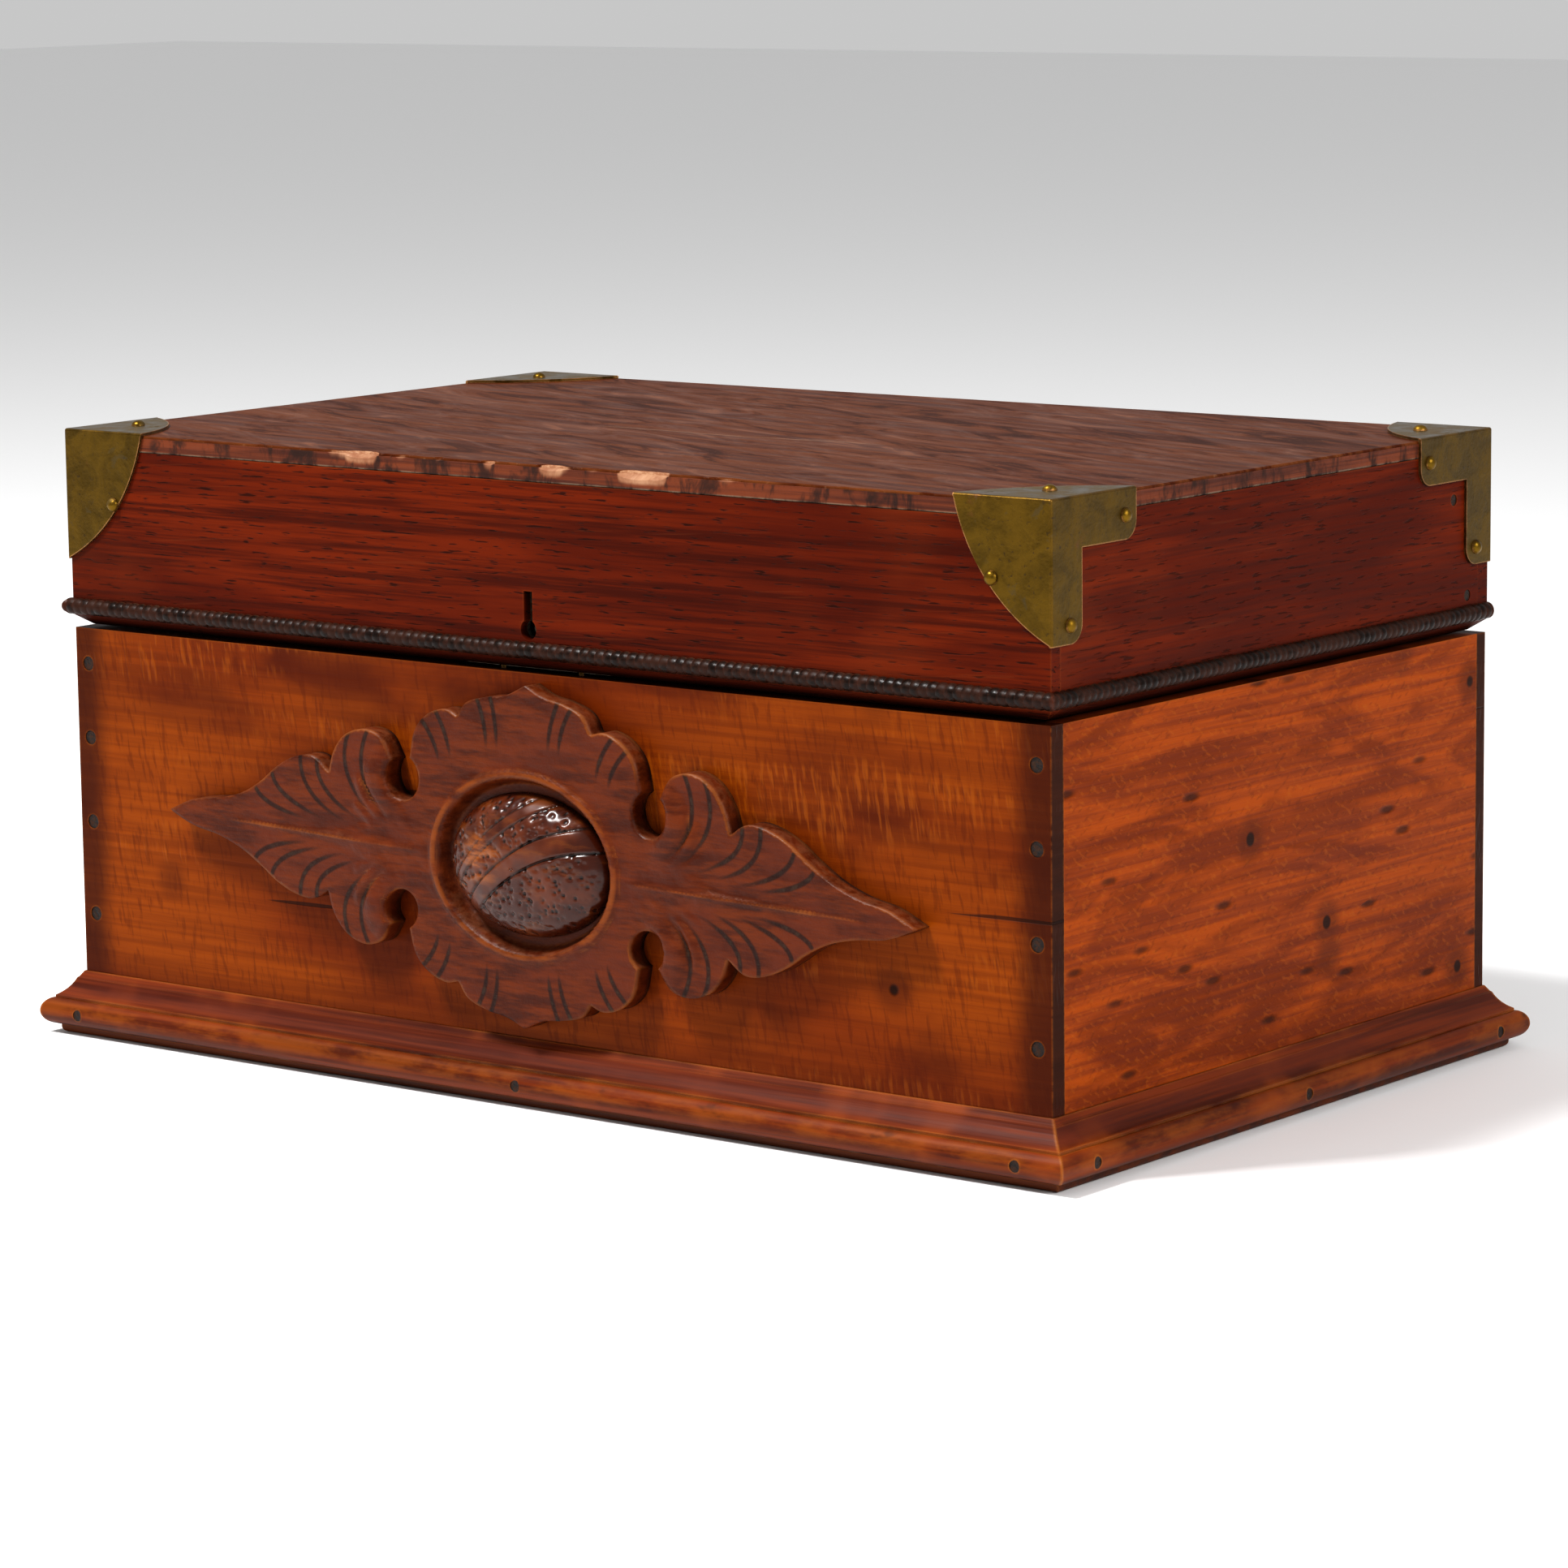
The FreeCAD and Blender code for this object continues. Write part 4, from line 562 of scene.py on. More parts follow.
def ring_bands(rings):
    """Quads between neighbouring rings of point numbers, joined round the turn."""
    return np.vstack([np.column_stack([a, np.roll(a, -1), np.roll(b, -1), b])
                      for a, b in zip(rings[:-1], rings[1:])])


STEP = 0.62                                 # between points on the carving's face
grid_u, grid_v = np.meshgrid(np.arange(-115.5, 115.6, STEP), np.arange(-43.0, 43.1, STEP))
grid_v[:, ::2] += STEP / 2
grid = np.column_stack([grid_u.ravel(), grid_v.ravel()])
grid = grid[inside(grid, outline)]
edge_gap, _ = nearest(grid, outline, True)
grid, edge_gap = grid[edge_gap > 0.34], edge_gap[edge_gap > 0.34]
rim_count = len(outline)
rim = np.arange(rim_count)
loose = list(map(Vector, np.vstack([outline, grid]).tolist()))
ring_edges = list(zip(rim.tolist(), np.roll(rim, -1).tolist()))
joined = delaunay_2d_cdt(loose, ring_edges, [rim.tolist()], 1, 1e-6)
flat, flat_faces = np.array(joined[0], float), joined[2]
source = np.array([first[0] if first else -1 for first in joined[3]])
gap_all = np.concatenate([np.zeros(rim_count), edge_gap])
height, gouge, ridge = carve(flat, np.where(source >= 0, gap_all[source], 1.0))
on_rim = (source >= 0) & (source < rim_count)
rim_at = np.zeros(rim_count, int)
rim_at[source[on_rim]] = np.flatnonzero(on_rim)
top = on_front(flat, height)
walls = [on_front(flat[rim_at], height[rim_at] * share) for share in (0.66, 0.33, 0.0)]
points = np.vstack([top] + walls)
levels = [rim_at] + [len(top) + k * rim_count + rim for k in range(3)]
skirt = ring_bands(levels)[:, ::-1].tolist()
faces = [list(face) for face in flat_faces] + skirt + [levels[-1][::-1].tolist()]
plain = np.zeros(3 * rim_count)
marks = {"gouge": np.append(gouge, plain), "ridge": np.append(ridge, plain)}
carving = new_piece("carving", "case", points, faces, marks)
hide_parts("carved_ornament")

f = Finish("carving_stain", specular=0.14)
streaks = f.noise((70, 200, 420), 4, 0.65)
clouds = f.noise((55, 55, 55), 3, 0.6, shift=2.0)
spots = f.noise((420, 420, 420), 4, 0.7, shift=9.0)
base = f.blend(f.ease(streaks, 0.35, 0.68), (0.082, 0.0145, 0.0022), (0.185, 0.038, 0.0045))
base = f.blend(f.ease(clouds, 0.42, 0.66, 0.0, 0.60), base, (0.165, 0.034, 0.0110))
# painted light and dust: faces turned upward are glazed paler, as if lit from above, in dusty spots
up = f.node("ShaderNodeSeparateXYZ", {0: f.node("ShaderNodeNewGeometry", {}).outputs["Normal"]}).outputs["Z"]
top_light_and_dust = f.calc("MULTIPLY", f.ease(up, 0.15, 0.75), f.ease(spots, 0.36, 0.62))
base = f.glaze(base, (0.26, 0.110, 0.060), top_light_and_dust, 0.40)
cut = f.mark("gouge")
# painted shade: the gouges are glazed near black
base = f.glaze(base, (0.014, 0.006, 0.004), f.ease(cut, 0.25, 0.8), 0.80)
silt = f.calc("MULTIPLY", f.ease(cut, 0.45, 0.95), f.ease(spots, 0.46, 0.62))
base = f.glaze(base, (0.13, 0.100, 0.070), silt, 0.22)
# painted shade: near black deep in hollows and corners, from an ambient-occlusion mask
nook = f.nooks(0.005, 0.55, 0.18)
base = f.glaze(base, (0.010, 0.005, 0.003), nook, 0.75)
handled = f.ease(f.noise((60, 60, 160), 4, 0.7, shift=4), 0.38, 0.60)
rubbed = f.calc("MULTIPLY", f.ease(f.mark("ridge"), 0.60, 1.0), handled)
base = f.glaze(base, (0.36, 0.105, 0.014), rubbed, 0.55)
worn = f.calc("MULTIPLY", f.edges(0.0009), f.ease(clouds, 0.40, 0.62))
base = f.glaze(base, (0.34, 0.115, 0.024), worn, 0.65)
rough = f.calc("ADD", f.ease(streaks, 0.2, 0.8, 0.34, 0.50), f.calc("MULTIPLY", nook, 0.35))
carving.data.materials.append(f.done(base, rough, f.free("ADD", streaks, spots), 0.0003))


# ---- carved nut ------------------------------------------------------------------------------------
# An egg-shaped boss standing in the dish, pitted like a peach stone but for a smooth band between two
# cut lines that cross it from low left to high right.  Its surface is glossy, dark, and rubbed in one place.
# Its pits, cut lines and hollows are painted near black as shade.
NUT, NUT_TOP = (24.3, 17.2), 10.25          # half its length and width, and its height over the board
BAND_LEAN, BAND_HALF = math.radians(33), 2.2
SMALL_BAND, SMALL_BAND_HALF = 9.5, 1.4
CUTS = ((-2.4, 0.28, 1.0), (2.4, 0.28, 1.0), (8.0, 0.26, 0.6), (11.0, 0.26, 0.6))   # place, width, share
CUT_DEEP = 0.55
PITS, PIT_R, PIT_DEEP = 620, 0.62, 0.62
RINGS, TURNS = 92, 300


def disc_faces(rings, count):
    """A disc's faces: one fan at the pole and bands of quads, joined round the turn."""
    ring = np.arange(count)
    fan = np.column_stack([np.zeros(count, int), 1 + np.roll(ring, -1), 1 + ring])
    return fan.tolist() + ring_bands([1 + r * count + ring for r in range(rings)])[:, ::-1].tolist()


# Rings of points reach out from the pole by the sine of their share; the height over the dish is the root of
# one less the reach to the power 2.7, less pits (round dips at scattered spots) and the cut lines.
share = np.concatenate([[0.0], np.repeat(np.arange(1, RINGS + 1) / RINGS, TURNS)])
angle = np.concatenate([[0.0], np.tile(np.arange(TURNS) * 2 * math.pi / TURNS, RINGS)])
reach = np.sin(share * math.pi / 2)
egg_u = NUT[0] * reach * np.cos(angle) * (1 + 0.02 * np.cos(angle))
egg_v = NUT[1] * reach * np.sin(angle)
egg_h = DISH_FLOOR + (NUT_TOP - DISH_FLOOR) * (1 - reach ** 2.7) ** 0.5
across = -egg_u * math.sin(BAND_LEAN) + egg_v * math.cos(BAND_LEAN) + 0.012 * egg_u ** 2 - 1.0
seeds = np.random.default_rng(12)
pit_spots = seeds.uniform(-1, 1, (PITS, 2)) * np.array(NUT)
pit_deep = seeds.uniform(0.25, 1.0, PITS)
egg_uv = np.column_stack([egg_u, egg_v])
pit = np.zeros(len(egg_uv))
for low in range(0, len(egg_uv), 4000):
    gap = np.hypot(*np.moveaxis(egg_uv[low:low + 4000, None, :] - pit_spots, 2, 0))
    pit[low:low + 4000] = (np.exp(-(gap / PIT_R) ** 2) * pit_deep).max(1)
smooth = (np.abs(across) < BAND_HALF) | (np.abs(across - SMALL_BAND) < SMALL_BAND_HALF)
pit = np.where(smooth, 0.06 * pit, pit)
cut_lines = sum(part * np.exp(-((across - at) / width) ** 2) for at, width, part in CUTS)
fade = np.clip((1 - share) * 6, 0, 1)
egg_h -= fade * (PIT_DEEP * pit + CUT_DEEP * cut_lines + 0.06 * (1 + hand_noise(egg_u, egg_v, 2.2, 15)))
egg_points = np.vstack([on_front(egg_uv, egg_h), on_front(np.zeros((1, 2)), np.array([DISH_FLOOR]))])
last = 1 + (RINGS - 1) * TURNS + np.arange(TURNS)
under = np.column_stack([np.full(TURNS, len(egg_points) - 1), last, np.roll(last, -1)]).tolist()
nut = new_piece("nut", "case", egg_points, disc_faces(RINGS, TURNS) + under,
                {"pit": np.append(fade * pit, 0), "cut": np.append(np.clip(cut_lines, 0, 1) * fade, 0)})
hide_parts("carved_nut")

f = Finish("nut_polish", specular=0.22)
clouds = f.noise((70, 70, 70), 3, 0.6, shift=1.0)
streaks = f.noise((90, 90, 380), 4, 0.6, shift=6.0)
base = f.blend(f.ease(clouds, 0.40, 0.62), (0.070, 0.0130, 0.0030), (0.150, 0.033, 0.0060))
base = f.blend(f.ease(streaks, 0.50, 0.70, 0.0, 0.6), base, (0.23, 0.070, 0.012))
# painted shade: the pits and the cut lines are glazed near black
base = f.glaze(base, (0.008, 0.004, 0.003), f.ease(f.mark("pit"), 0.35, 0.8), 0.85)
base = f.glaze(base, (0.006, 0.003, 0.002), f.mark("cut"), 0.85)
RUBBED_AT = (-0.0085, -0.1000, 0.0600)
from_patch = f.node("ShaderNodeVectorMath", {0: f.place, 1: RUBBED_AT}, operation="DISTANCE").outputs["Value"]
patch = f.calc("MULTIPLY", f.ease(from_patch, 0.0085, 0.0030), f.ease(streaks, 0.40, 0.58))
base = f.glaze(base, (0.40, 0.125, 0.02), patch, 0.8)
# painted shade: near black deep in the hollows, from an ambient-occlusion mask
base = f.glaze(base, (0.008, 0.004, 0.003), f.nooks(0.006, 0.5, 0.15), 0.7)
f.shader.inputs["Coat Weight"].default_value = 0.22
f.shader.inputs["Coat Roughness"].default_value = 0.22
nut.data.materials.append(f.done(base, f.ease(clouds, 0.3, 0.7, 0.24, 0.40), streaks, 0.00012))


# ---- hinges and link plate -------------------------------------------------------------------------
# Two pressed brass butts let into the back edges, their pins, and the staple plate the lock catches.
# Brass gone olive-brown with handling, brighter on its corners.
def brass_finish(name, shift, bright=1.0):
    """Old brass: olive-brown skin, copper-coloured blotches, dark spots, and bare metal on the edges."""
    f = Finish(name, rough=0.4, specular=0.5, metal=0.85)
    skin = f.noise((130, 130, 130), 4, 0.65, 0.5, shift=shift)
    fine = f.noise((900, 900, 900), 3, 0.6, shift=shift + 3)
    base = f.blend(f.ease(skin, 0.36, 0.64), tuple(c * bright for c in (0.125, 0.075, 0.004)),
                   tuple(c * bright for c in (0.185, 0.110, 0.007)))
    copper = f.ease(f.noise((60, 60, 60), 4, 0.7, shift=shift + 6), 0.62, 0.74, 0.0, 0.7)
    base = f.blend(copper, base, (0.24, 0.105, 0.040))
    base = f.glaze(base, (0.055, 0.035, 0.018), f.ease(fine, 0.60, 0.72), 0.6)
    grey = f.ease(f.noise((110, 110, 110), 4, 0.7, 0.8, shift=shift + 9), 0.60, 0.68)
    base = f.glaze(base, (0.13, 0.115, 0.085), grey, 0.35)
    bare = f.calc("MULTIPLY", f.edges(0.0006), f.ease(skin, 0.32, 0.52))
    base = f.glaze(base, (0.78, 0.42, 0.22), bare, 0.85)
    base = f.glaze(base, (0.022, 0.014, 0.008), f.nooks(0.003, 0.60, 0.25), 0.8)
    rough = f.calc("ADD", f.ease(skin, 0.3, 0.7, 0.30, 0.48), f.calc("MULTIPLY", grey, 0.25))
    return f.done(base, rough, f.free("ADD", skin, f.free("MULTIPLY", fine, 0.4)), 0.0003, 0.5)


paint(brass_finish("hinge_brass_skin", 40.0, 1.2), "hinge_leaf_lower_left", "hinge_leaf_lower_right",
      "hinge_leaf_upper_left", "hinge_leaf_upper_right", "link_plate", "hinge_pins")

f = Finish("screw_iron", specular=0.5, metal=0.9)
rust = f.noise((700, 700, 700), 4, 0.7)
base = f.blend(f.ease(rust, 0.42, 0.62), (0.10, 0.085, 0.07), (0.085, 0.032, 0.013))
base = f.glaze(base, (0.34, 0.31, 0.28), f.edges(0.0004), 0.7)
IRON_SKIN = f.done(base, f.ease(rust, 0.3, 0.7, 0.35, 0.7), rust, 0.0002)
paint(IRON_SKIN, "lower_hinge_screws", "upper_hinge_screws", "link_plate_screws", "lock_screws")


# ---- tray ledgers ----------------------------------------------------------------------------------
# Two plain strips glued to the side boards inside, for the tray to rest on.
# Unstained inside wood, a little brown with age.
f = Finish("inside_wood", specular=0.18)
grain = f.noise((14, 14, 420), 5, 0.6, 0.4)
clouds = f.noise((22, 22, 22), 3, 0.6, shift=5.0)
base = f.blend(f.ease(grain, 0.34, 0.66), (0.30, 0.145, 0.050), (0.47, 0.265, 0.105))
base = f.blend(f.ease(clouds, 0.45, 0.70, 0.0, 0.5), base, (0.22, 0.095, 0.032))
base = f.glaze(base, (0.55, 0.34, 0.16), f.edges(0.0008), 0.5)
# painted shade: darker deep in inside corners, from an ambient-occlusion mask
base = f.glaze(base, (0.09, 0.038, 0.014), f.nooks(0.008, 0.6, 0.2), 0.6)
INSIDE_WOOD = f.done(base, f.ease(grain, 0.3, 0.7, 0.46, 0.60), grain, 0.0002)
paint(INSIDE_WOOD, "tray_ledger_left", "tray_ledger_right")


# ---- floor pad -------------------------------------------------------------------------------------
# A card wrapped in wine-red velvet over thin wadding, pushed down on the case's floor.
# Its pile lies in swathes where hands have brushed it, and the edges are drawn in.
def velvet_finish(name, shift):
    """Velvet: dark red, paler where the pile lies over, with a fine nap and a sheen at grazing angles, and
    painted shade at rolled edges, in quilting troughs and in corners.
    """
    f = Finish(name, rough=0.95, specular=0.05)
    nap = f.noise((2600, 2600, 2600), 2, 0.6, shift=shift)
    brushed = f.noise((26, 34, 40), 4, 0.6, 1.6, shift=shift + 3)
    base = f.blend(f.ease(brushed, 0.40, 0.62), (0.055, 0.004, 0.008), (0.135, 0.012, 0.020))
    base = f.blend(f.ease(nap, 0.35, 0.68, 0.45, 0.0), base, (0.020, 0.002, 0.003))
    # painted shade: darker where the edges roll under and in the quilting troughs, and deep in corners
    base = f.glaze(base, (0.018, 0.002, 0.003), f.mark("crease_shade"), 0.8)
    base = f.glaze(base, (0.016, 0.002, 0.003), f.nooks(0.006, 0.6, 0.2), 0.5)
    f.shader.inputs["Sheen Weight"].default_value = 0.8
    f.shader.inputs["Sheen Roughness"].default_value = 0.35
    f.shader.inputs["Sheen Tint"].default_value = (0.75, 0.28, 0.30, 1)
    return f.done(base, None, f.free("ADD", nap, f.free("MULTIPLY", brushed, 0.8)), 0.0004, 0.7)


VELVET = velvet_finish("wine_velvet", 0.0)
PAD_STEP = 1.6
PULLED_IN = 0.8                             # at the middle of each edge
EDGE_ROLL = 3.2
QUILT = 34.0                                # across a diamond


def closer_at_ends(count):
    """Steps from -1 to 1, closer toward the ends: even steps mixed with a sine."""
    even = np.linspace(-1, 1, count + 1)
    return 0.35 * np.sin(even * math.pi / 2) + 0.65 * even


def velvet_pad(name, body, node, low, high, face, crown, quilted=None):
    """A wadded pad in the room between two corners, millimetres, whose face (+1 up, -1 down) is crowned.

    Across u and v from -1 to 1, the height is the edge's roll times a crown of (1-u^4)(1-v^4), less quilting
    troughs, plus soft creases; the outline pulls in between the corners."""
    nu, nv = [max(24, int(round((high[i] - low[i]) / PAD_STEP))) for i in (0, 1)]
    u, v = np.meshgrid(closer_at_ends(nu), closer_at_ends(nv), indexing="ij")
    half_x, half_y = (high[0] - low[0]) / 2, (high[1] - low[1]) / 2
    x = (low[0] + high[0]) / 2 + u * (half_x - PULLED_IN * (1 - v ** 2))
    y = (low[1] + high[1]) / 2 + v * (half_y - PULLED_IN * (1 - u ** 2))
    edge = np.minimum((1 - np.abs(u)) * half_x, (1 - np.abs(v)) * half_y)
    roll = np.sqrt(1 - (1 - np.clip(edge / EDGE_ROLL, 0, 1)) ** 2)
    thick = high[2] - low[2]
    lift = roll * (0.72 * thick + crown * (1 - u ** 4) * (1 - v ** 4))
    lift += 0.25 * roll * hand_noise(x, y, 17, 21)
    lift += 0.12 * roll * hand_noise(x, y, 6, 22)
    # painted shade mask: 1 where the edge rolls under and, when quilted, along the troughs
    crease_shade = np.exp(-(edge / 0.9) ** 2)
    if quilted:
        for turn in (1, -1):
            wave = (x + turn * y) / quilted
            trough = np.exp(-((wave - np.round(wave)) * quilted / 1.5) ** 2)
            lift -= 0.85 * roll * trough
            crease_shade = np.maximum(crease_shade, 0.6 * trough ** 3)
    crease = np.exp(-edge / 5.0) * np.sin(np.where(edge == (1 - np.abs(v)) * half_y, x, y) / 1.9 + 2 * u * v)
    lift += 0.10 * roll * crease
    base_z, out = (low[2], 1) if face > 0 else (high[2], -1)
    upper = np.stack([x, y, base_z + out * np.maximum(lift, 0.02)], -1).reshape(-1, 3)
    lower = np.stack([x, y, np.full_like(x, base_z)], -1).reshape(-1, 3)
    index = np.arange((nu + 1) * (nv + 1)).reshape(nu + 1, nv + 1)
    quads = np.stack([index[:-1, :-1], index[1:, :-1], index[1:, 1:], index[:-1, 1:]], -1).reshape(-1, 4)
    ring = np.concatenate([index[:-1, 0], index[-1, :-1], index[:0:-1, -1], index[0, :0:-1]])
    count = index.size
    side = np.column_stack([ring + count, np.roll(ring, -1) + count, np.roll(ring, -1), ring])
    faces = np.vstack([quads, (quads + count)[:, ::-1], side])
    if face < 0:
        faces = faces[:, ::-1]
    pad = new_piece(name, body, np.vstack([upper, lower]) * MM, faces,
                    {"crease_shade": np.tile(crease_shade.ravel(), 2)})
    pad.data.materials.append(VELVET)
    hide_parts(node)


def room_of(node):
    """The box of a CAD node, in millimetres."""
    return [[c / MM for c in corner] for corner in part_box(node)]


velvet_pad("floor_cushion", "case", "case_floor_pad", *room_of("case_floor_pad"), 1, 1.2, quilted=QUILT)


# ---- tray ------------------------------------------------------------------------------------------
# A lift-out tray of thin boards with one long and four short dividers, a velvet pad in every room, and
# two turned brass knobs on the long divider to lift it by.
paint(INSIDE_WOOD, "tray_front_board", "tray_back_board", "tray_left_board", "tray_right_board",
      "tray_bottom", "tray_long_divider", "tray_cross_dividers")
paint(brass_finish("knob_brass_skin", 60.0, 1.7), "tray_knobs")

pads_low, pads_high = room_of("tray_pads")
GAP = 3.6                                   # between neighbouring pads: a divider and its clearances
LONG_GAP = (13.7, 17.3)
for row, count, y0, y1 in (("front", 4, pads_low[1], LONG_GAP[0]), ("back", 2, LONG_GAP[1], pads_high[1])):
    wide = (pads_high[0] - pads_low[0] - (count - 1) * GAP) / count
    for i in range(count):
        x0 = pads_low[0] + i * (wide + GAP)
        velvet_pad("tray_cushion_%s_%d" % (row, i + 1), "tray", "tray_pads", (x0, y0, pads_low[2]),
                   (x0 + wide, y1, pads_high[2]), 1, 1.4)


# ---- lid boards ------------------------------------------------------------------------------------
# Four boards of dark red mahogany, lapped like the case's, with a bevel along the lower edge.
# Short dark pores run level; the varnish is thin, scratched and dented.
def mahogany_finish(name, run, shift, contrast):
    """Dark red mahogany: ribbon bands, short dark pores along the grain, faint scratches, a dent or two."""
    f = Finish(name, specular=0.05)
    long_x = run == "X"
    ribbon = f.noise((7, 30, 62) if long_x else (30, 7, 62), 4, 0.55, 0.5, shift=shift)
    base = f.blend(f.ease(ribbon, 0.36, 0.64), (0.112, 0.0130, 0.0018), (0.200, 0.0275, 0.0030))
    grain = f.noise((16, 60, 700) if long_x else (60, 16, 700), 4, 0.6, shift=shift + 2)
    base = f.blend(f.ease(grain, 0.34, 0.60, contrast, 0.0), base, (0.060, 0.0075, 0.0020))
    pores = f.noise((150, 600, 1500) if long_x else (600, 150, 1500), 2, 0.5, shift=shift + 4)
    pore = f.ease(pores, 0.60, 0.68)
    base = f.blend(f.calc("MULTIPLY", pore, contrast), base, (0.022, 0.0050, 0.0020))
    tired = f.ease(f.noise((14, 14, 20), 3, 0.6, shift=shift + 6), 0.50, 0.72)
    base = f.glaze(base, (0.240, 0.050, 0.0130), tired, 0.35)
    scratches = f.noise((26, 26, 1100), 1, 0.4, 0.3, at=f.turned((0, 4, 0)), shift=shift + 8)
    base = f.glaze(base, (0.30, 0.090, 0.030), f.ease(scratches, 0.715, 0.735), 0.10)
    far, lot = f.cells((34, 34, 34), shift=shift + 11)
    dent = f.calc("MULTIPLY", f.ease(far, 0.075, 0.045), f.ease(lot, 0.70, 0.74))
    base = f.glaze(base, (0.030, 0.007, 0.003), dent, 0.75)
    # painted shade: the lowest few millimetres, under the bead, are glazed darker
    base = f.glaze(base, (0.050, 0.010, 0.004), f.ease(f.axis("Z"), 0.1125, 0.1085), 0.55)
    # painted shade: near black deep in inside corners, from an ambient-occlusion mask
    base = f.glaze(base, (0.012, 0.005, 0.003), f.nooks(0.006, 0.60, 0.20), 0.75)
    worn = f.calc("MULTIPLY", f.edges(0.0008), f.ease(ribbon, 0.35, 0.60))
    base = f.glaze(base, (0.30, 0.075, 0.020), worn, 0.5)
    bump = f.free("SUBTRACT", f.free("MULTIPLY", grain, 0.5), f.free("ADD", pore, dent))
    return f.done(base, f.ease(grain, 0.3, 0.7, 0.44, 0.56), bump, 0.00018)


paint(mahogany_finish("lid_front_stain", "X", 3.0, 0.80), "lid_front_board", "lid_back_board")
paint(mahogany_finish("lid_side_stain", "Y", 17.0, 0.60), "lid_right_board", "lid_left_board")


# ---- lid top ---------------------------------------------------------------------------------------
# A thin board with a figured veneer on it.  Its front edge is chipped: shallow shell-shaped flakes have
# come away and show pale raw wood.  A line of dust lies in the joint under it.
LID_HALF = (150.3, 91.8)
BOARD_Z = (148.7, 152.3)
VENEER_Z = (152.3, 152.9)
CLOSE, STRAY = 16, 20                       # flakes near the middle, and strays along the whole edge
chip_dice = np.random.default_rng(31)
CHIP_AT = np.concatenate([chip_dice.uniform(-66, 62, CLOSE), chip_dice.uniform(-118, 118, STRAY),
                          [-52.0, 34.0, 38.5, 8.0]])
CHIP_HALF = np.concatenate([chip_dice.uniform(1.2, 5.0, CLOSE), chip_dice.uniform(0.6, 2.2, STRAY),
                            [6.0, 6.5, 4.5, 4.5]])
CHIP_DEEP = np.concatenate([chip_dice.uniform(0.3, 0.9, CLOSE), chip_dice.uniform(0.15, 0.4, STRAY),
                            [1.5, 1.9, 1.7, 1.2]])


def rim_path(pitch):
    """Points round the lid's outline, anticlockwise and closest along the front, and the way out at each."""
    hx, hy = LID_HALF
    front = np.arange(-hx, hx, pitch)
    right = np.arange(-hy, hy, 4 * pitch)
    rear = np.arange(hx, -hx, -4 * pitch)
    left = np.arange(hy, -hy, -4 * pitch)
    place = np.vstack([np.column_stack(np.broadcast_arrays(x, y)) for x, y in (
        (front, -hy), (hx, right), (rear, hy), (-hx, left))])
    return place, np.sign(place) * (np.abs(np.abs(place) - np.array(LID_HALF)) < 1e-9)


def chip_depth(place):
    """Depth of the flakes at points of the outline: half circles squashed to each flake's depth, on the
    front edge only, and slow small wear all round."""
    x = place[:, :1]
    shell = CHIP_DEEP * np.sqrt(np.clip(1 - ((x - CHIP_AT) / CHIP_HALF) ** 2, 0, 1))
    on_face = np.abs(place[:, 1] + LID_HALF[1]) < 1e-6
    wear = 0.10 + 0.07 * hand_noise(place[:, 0], place[:, 1], 3.1, 41)
    return np.where(on_face, shell.max(1), 0) + np.clip(wear, 0.02, 1)


def stacked_rings(rings):
    """A closed solid from rings of equal count, lowest first: side quads and two flat ends."""
    count = len(rings[0])
    levels = [np.arange(count) + k * count for k in range(len(rings))]
    ends = [levels[0][::-1].tolist(), levels[-1].tolist()]
    return np.vstack(rings), ring_bands(levels).tolist() + ends


def rim_ring(place, out, inward, height):
    """The outline pulled in by a distance, at a height, in metres."""
    pulled = place - out * np.reshape(inward, (-1, 1))
    return np.column_stack([pulled, np.broadcast_to(height, len(place))]) * MM


place, out = rim_path(0.4)
flake = chip_depth(place)
ragged = 0.25 * flake * hand_noise(place[:, 0], place[:, 1], 0.9, 43)
into_board = np.clip(flake - 0.6, 0, 3)
points, faces = stacked_rings([
    rim_ring(place, out, 0.25, BOARD_Z[0]), rim_ring(place, out, 0.0, BOARD_Z[0] + 0.25),
    rim_ring(place, out, 0.0, BOARD_Z[1] - 0.02 - into_board * 0.9),
    rim_ring(place, out, np.maximum(into_board + ragged, 0) + 0.01, BOARD_Z[1] - into_board * 0.25),
    rim_ring(place, out, np.maximum(flake + ragged, 0) + 0.03, BOARD_Z[1])])
chip_mark = np.clip(flake * 1.1 - 0.38, 0, 1)
zero = np.zeros(len(place))
board = new_piece("lid_top_edge", "lid", points, faces,
                  {"chip": np.concatenate([zero, zero, 0.8 * chip_mark, chip_mark, chip_mark])}, smooth=False)
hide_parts("lid_top_board")
points, faces = stacked_rings([
    rim_ring(place, out, np.maximum(flake + ragged, 0) + 0.02, VENEER_Z[0]),
    rim_ring(place, out, np.maximum(flake * 1.2 + ragged, 0) + 0.02, VENEER_Z[0] + 0.35),
    rim_ring(place, out, np.maximum(flake * 1.5 + ragged, 0) + 0.25, VENEER_Z[1])])
veneer = new_piece("lid_top_sheet", "lid", points, faces,
                   {"chip": np.concatenate([chip_mark, chip_mark, 0.35 * chip_mark])}, smooth=False)
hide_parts("lid_top_veneer")

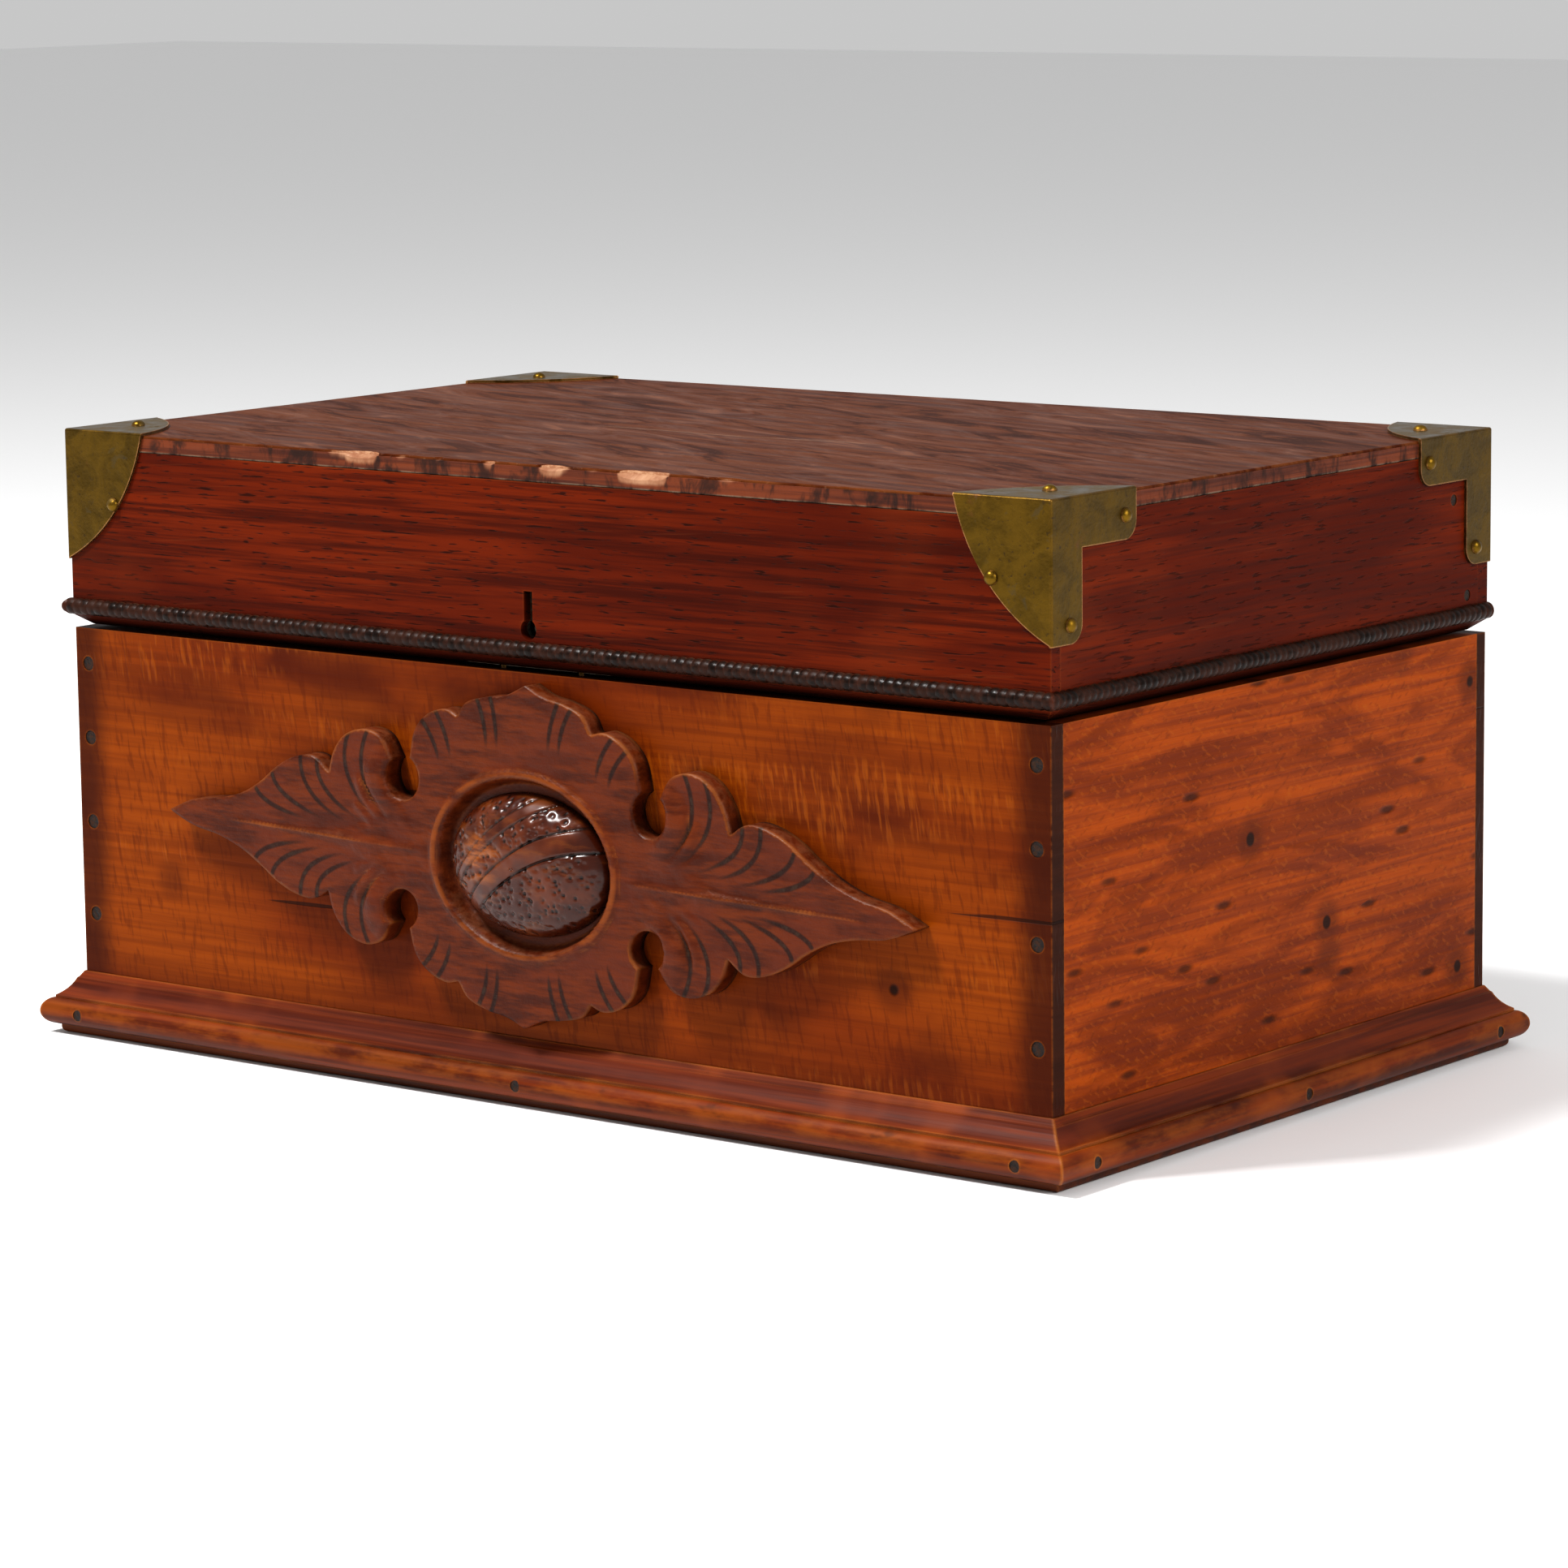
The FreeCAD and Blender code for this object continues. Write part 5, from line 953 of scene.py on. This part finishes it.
f = Finish("lid_edge_stain", specular=0.2)
smudges = f.noise((120, 120, 60), 4, 0.7, 0.4)
grain = f.noise((16, 16, 600), 4, 0.6, shift=2.0)
base = f.blend(f.ease(grain, 0.35, 0.62), (0.095, 0.020, 0.006), (0.215, 0.052, 0.014))
base = f.glaze(base, (0.024, 0.008, 0.004), f.ease(smudges, 0.48, 0.62), 0.8)
under = f.ease(f.axis("Z"), 0.14935, 0.14880)
base = f.blend(under, base, f.blend(f.ease(smudges, 0.4, 0.6), (0.26, 0.20, 0.15), (0.022, 0.010, 0.006)))
raw = f.blend(f.ease(smudges, 0.35, 0.62), (0.53, 0.30, 0.19), (0.33, 0.14, 0.075))
base = f.blend(f.ease(f.mark("chip"), 0.25, 0.60), base, raw)
rough = f.ease(smudges, 0.3, 0.7, 0.45, 0.70)
board.data.materials.append(f.done(base, rough, f.free("ADD", grain, smudges), 0.0003))

f = Finish("veneer_polish", specular=0.03)
flames = f.noise((24, 105, 24), 5, 0.62, 1.3, at=f.turned((0, 0, 24)), shift=1.0)
stripes = f.noise((12, 260, 12), 4, 0.6, 0.5, at=f.turned((0, 0, 9)), shift=6.0)
specks = f.noise((520, 900, 520), 3, 0.7, at=f.turned((0, 0, 12)), shift=3.0)
base = f.blend(f.ease(stripes, 0.34, 0.64), (0.080, 0.0165, 0.0030), (0.150, 0.040, 0.0065))
base = f.blend(f.ease(flames, 0.53, 0.66, 0.0, 0.85), base, (0.050, 0.0130, 0.0070))
base = f.blend(f.ease(flames, 0.40, 0.30, 0.0, 0.55), base, (0.250, 0.080, 0.0200))
base = f.blend(f.ease(specks, 0.60, 0.72, 0.0, 0.35), base, (0.34, 0.20, 0.125))
base = f.blend(f.ease(specks, 0.38, 0.28, 0.0, 0.40), base, (0.045, 0.016, 0.010))
crack_y = f.free("ADD", f.axis("Y"), f.free("MULTIPLY", f.noise((30, 30, 30), 3, shift=8.0), 0.006))
crack = f.calc("MULTIPLY", f.ease(f.free("ABSOLUTE", f.free("ADD", crack_y, 0.0105)), 0.00045, 0.00015),
               f.ease(f.free("ABSOLUTE", f.axis("X")), 0.048, 0.036))
base = f.glaze(base, (0.38, 0.24, 0.16), crack, 0.6)
raw = f.blend(f.ease(specks, 0.35, 0.62), (0.55, 0.33, 0.22), (0.36, 0.17, 0.10))
base = f.blend(f.ease(f.mark("chip"), 0.35, 0.60), base, raw)
rubbed = f.calc("MULTIPLY", f.edges(0.0010), f.ease(stripes, 0.35, 0.6))
base = f.glaze(base, (0.30, 0.13, 0.06), rubbed, 0.4)
raised = f.free("ADD", f.free("MULTIPLY", stripes, 0.5), f.free("MULTIPLY", specks, 0.3))
rough = f.ease(flames, 0.3, 0.7, 0.34, 0.50)
veneer.data.materials.append(f.done(base, rough, f.free("SUBTRACT", raised, crack), 0.00016))


# ---- bead ------------------------------------------------------------------------------------------
# A turned and split bead with close ribs, pinned round the lid's front and sides above the bevel.
# Near black in its valleys, with greenish dust, and dull red where the ribs are rubbed.
f = Finish("bead_stain", specular=0.12)
spots = f.noise((260, 260, 260), 4, 0.7)
patches = f.noise((34, 34, 34), 3, 0.6, shift=4.0)
base = f.blend(f.ease(spots, 0.38, 0.62), (0.012, 0.006, 0.004), (0.048, 0.017, 0.009))
tops = f.calc("MULTIPLY", f.edges(0.0011), f.ease(patches, 0.34, 0.60, 0.35, 1.0))
base = f.glaze(base, (0.125, 0.038, 0.020), tops, 0.85)
settled = f.calc("MULTIPLY", f.ease(f.noise((420, 420, 420), 3, 0.6, shift=2.0), 0.48, 0.62),
                 f.ease(patches, 0.38, 0.62, 0.25, 1.0))
dusty = f.calc("MULTIPLY", f.nooks(0.0022, 0.92, 0.60), settled)
base = f.glaze(base, (0.095, 0.085, 0.060), dusty, 0.45)
paint(f.done(base, f.ease(spots, 0.3, 0.7, 0.26, 0.55), spots, 0.0003),
      "bead_front", "bead_left", "bead_right")


# ---- brass corners and their pins ------------------------------------------------------------------
# Four stamped brass corners bent over the lid's corners, each held by four round-headed brass pins.
# The plates are olive-brown with grey stains; bent edges are rubbed to copper, and dirt rings each pin.
paint(brass_finish("corner_brass_skin", 0.0), "corner_brass_front_left", "corner_brass_front_right",
      "corner_brass_back_left", "corner_brass_back_right")
paint(brass_finish("pin_brass_skin", 23.0, 1.5), "corner_pins")


# ---- lock ------------------------------------------------------------------------------------------
# A small iron box lock in the lid's front board: back plate and rim, cap, key post, and a sliding bolt.
# Grey-brown iron with greenish rust where air reaches it through the keyhole.
f = Finish("lock_iron", specular=0.5, metal=0.75)
rust = f.noise((380, 380, 380), 5, 0.7)
filed = f.noise((60, 60, 1600), 3, 0.6, shift=3.0)
base = f.blend(f.ease(filed, 0.3, 0.7), (0.15, 0.14, 0.12), (0.27, 0.26, 0.23))
base = f.blend(f.ease(rust, 0.46, 0.62), base, (0.110, 0.052, 0.024))
base = f.glaze(base, (0.15, 0.165, 0.12), f.ease(rust, 0.36, 0.28), 0.6)
base = f.glaze(base, (0.42, 0.40, 0.36), f.edges(0.0005), 0.7)
paint(f.done(base, f.ease(rust, 0.3, 0.7, 0.32, 0.75), f.free("ADD", rust, filed), 0.0002),
      "lock_case", "lock_cap", "lock_key_post", "lock_bolt")


# ---- lid pad ---------------------------------------------------------------------------------------
# The lid's lining: a card covered in the same wine velvet over wadding, quilted in large diamonds.
# It is glued up under the top board.
velvet_pad("lid_cushion", "lid", "lid_pad", *room_of("lid_pad"), -1, 1.6, quilted=QUILT)
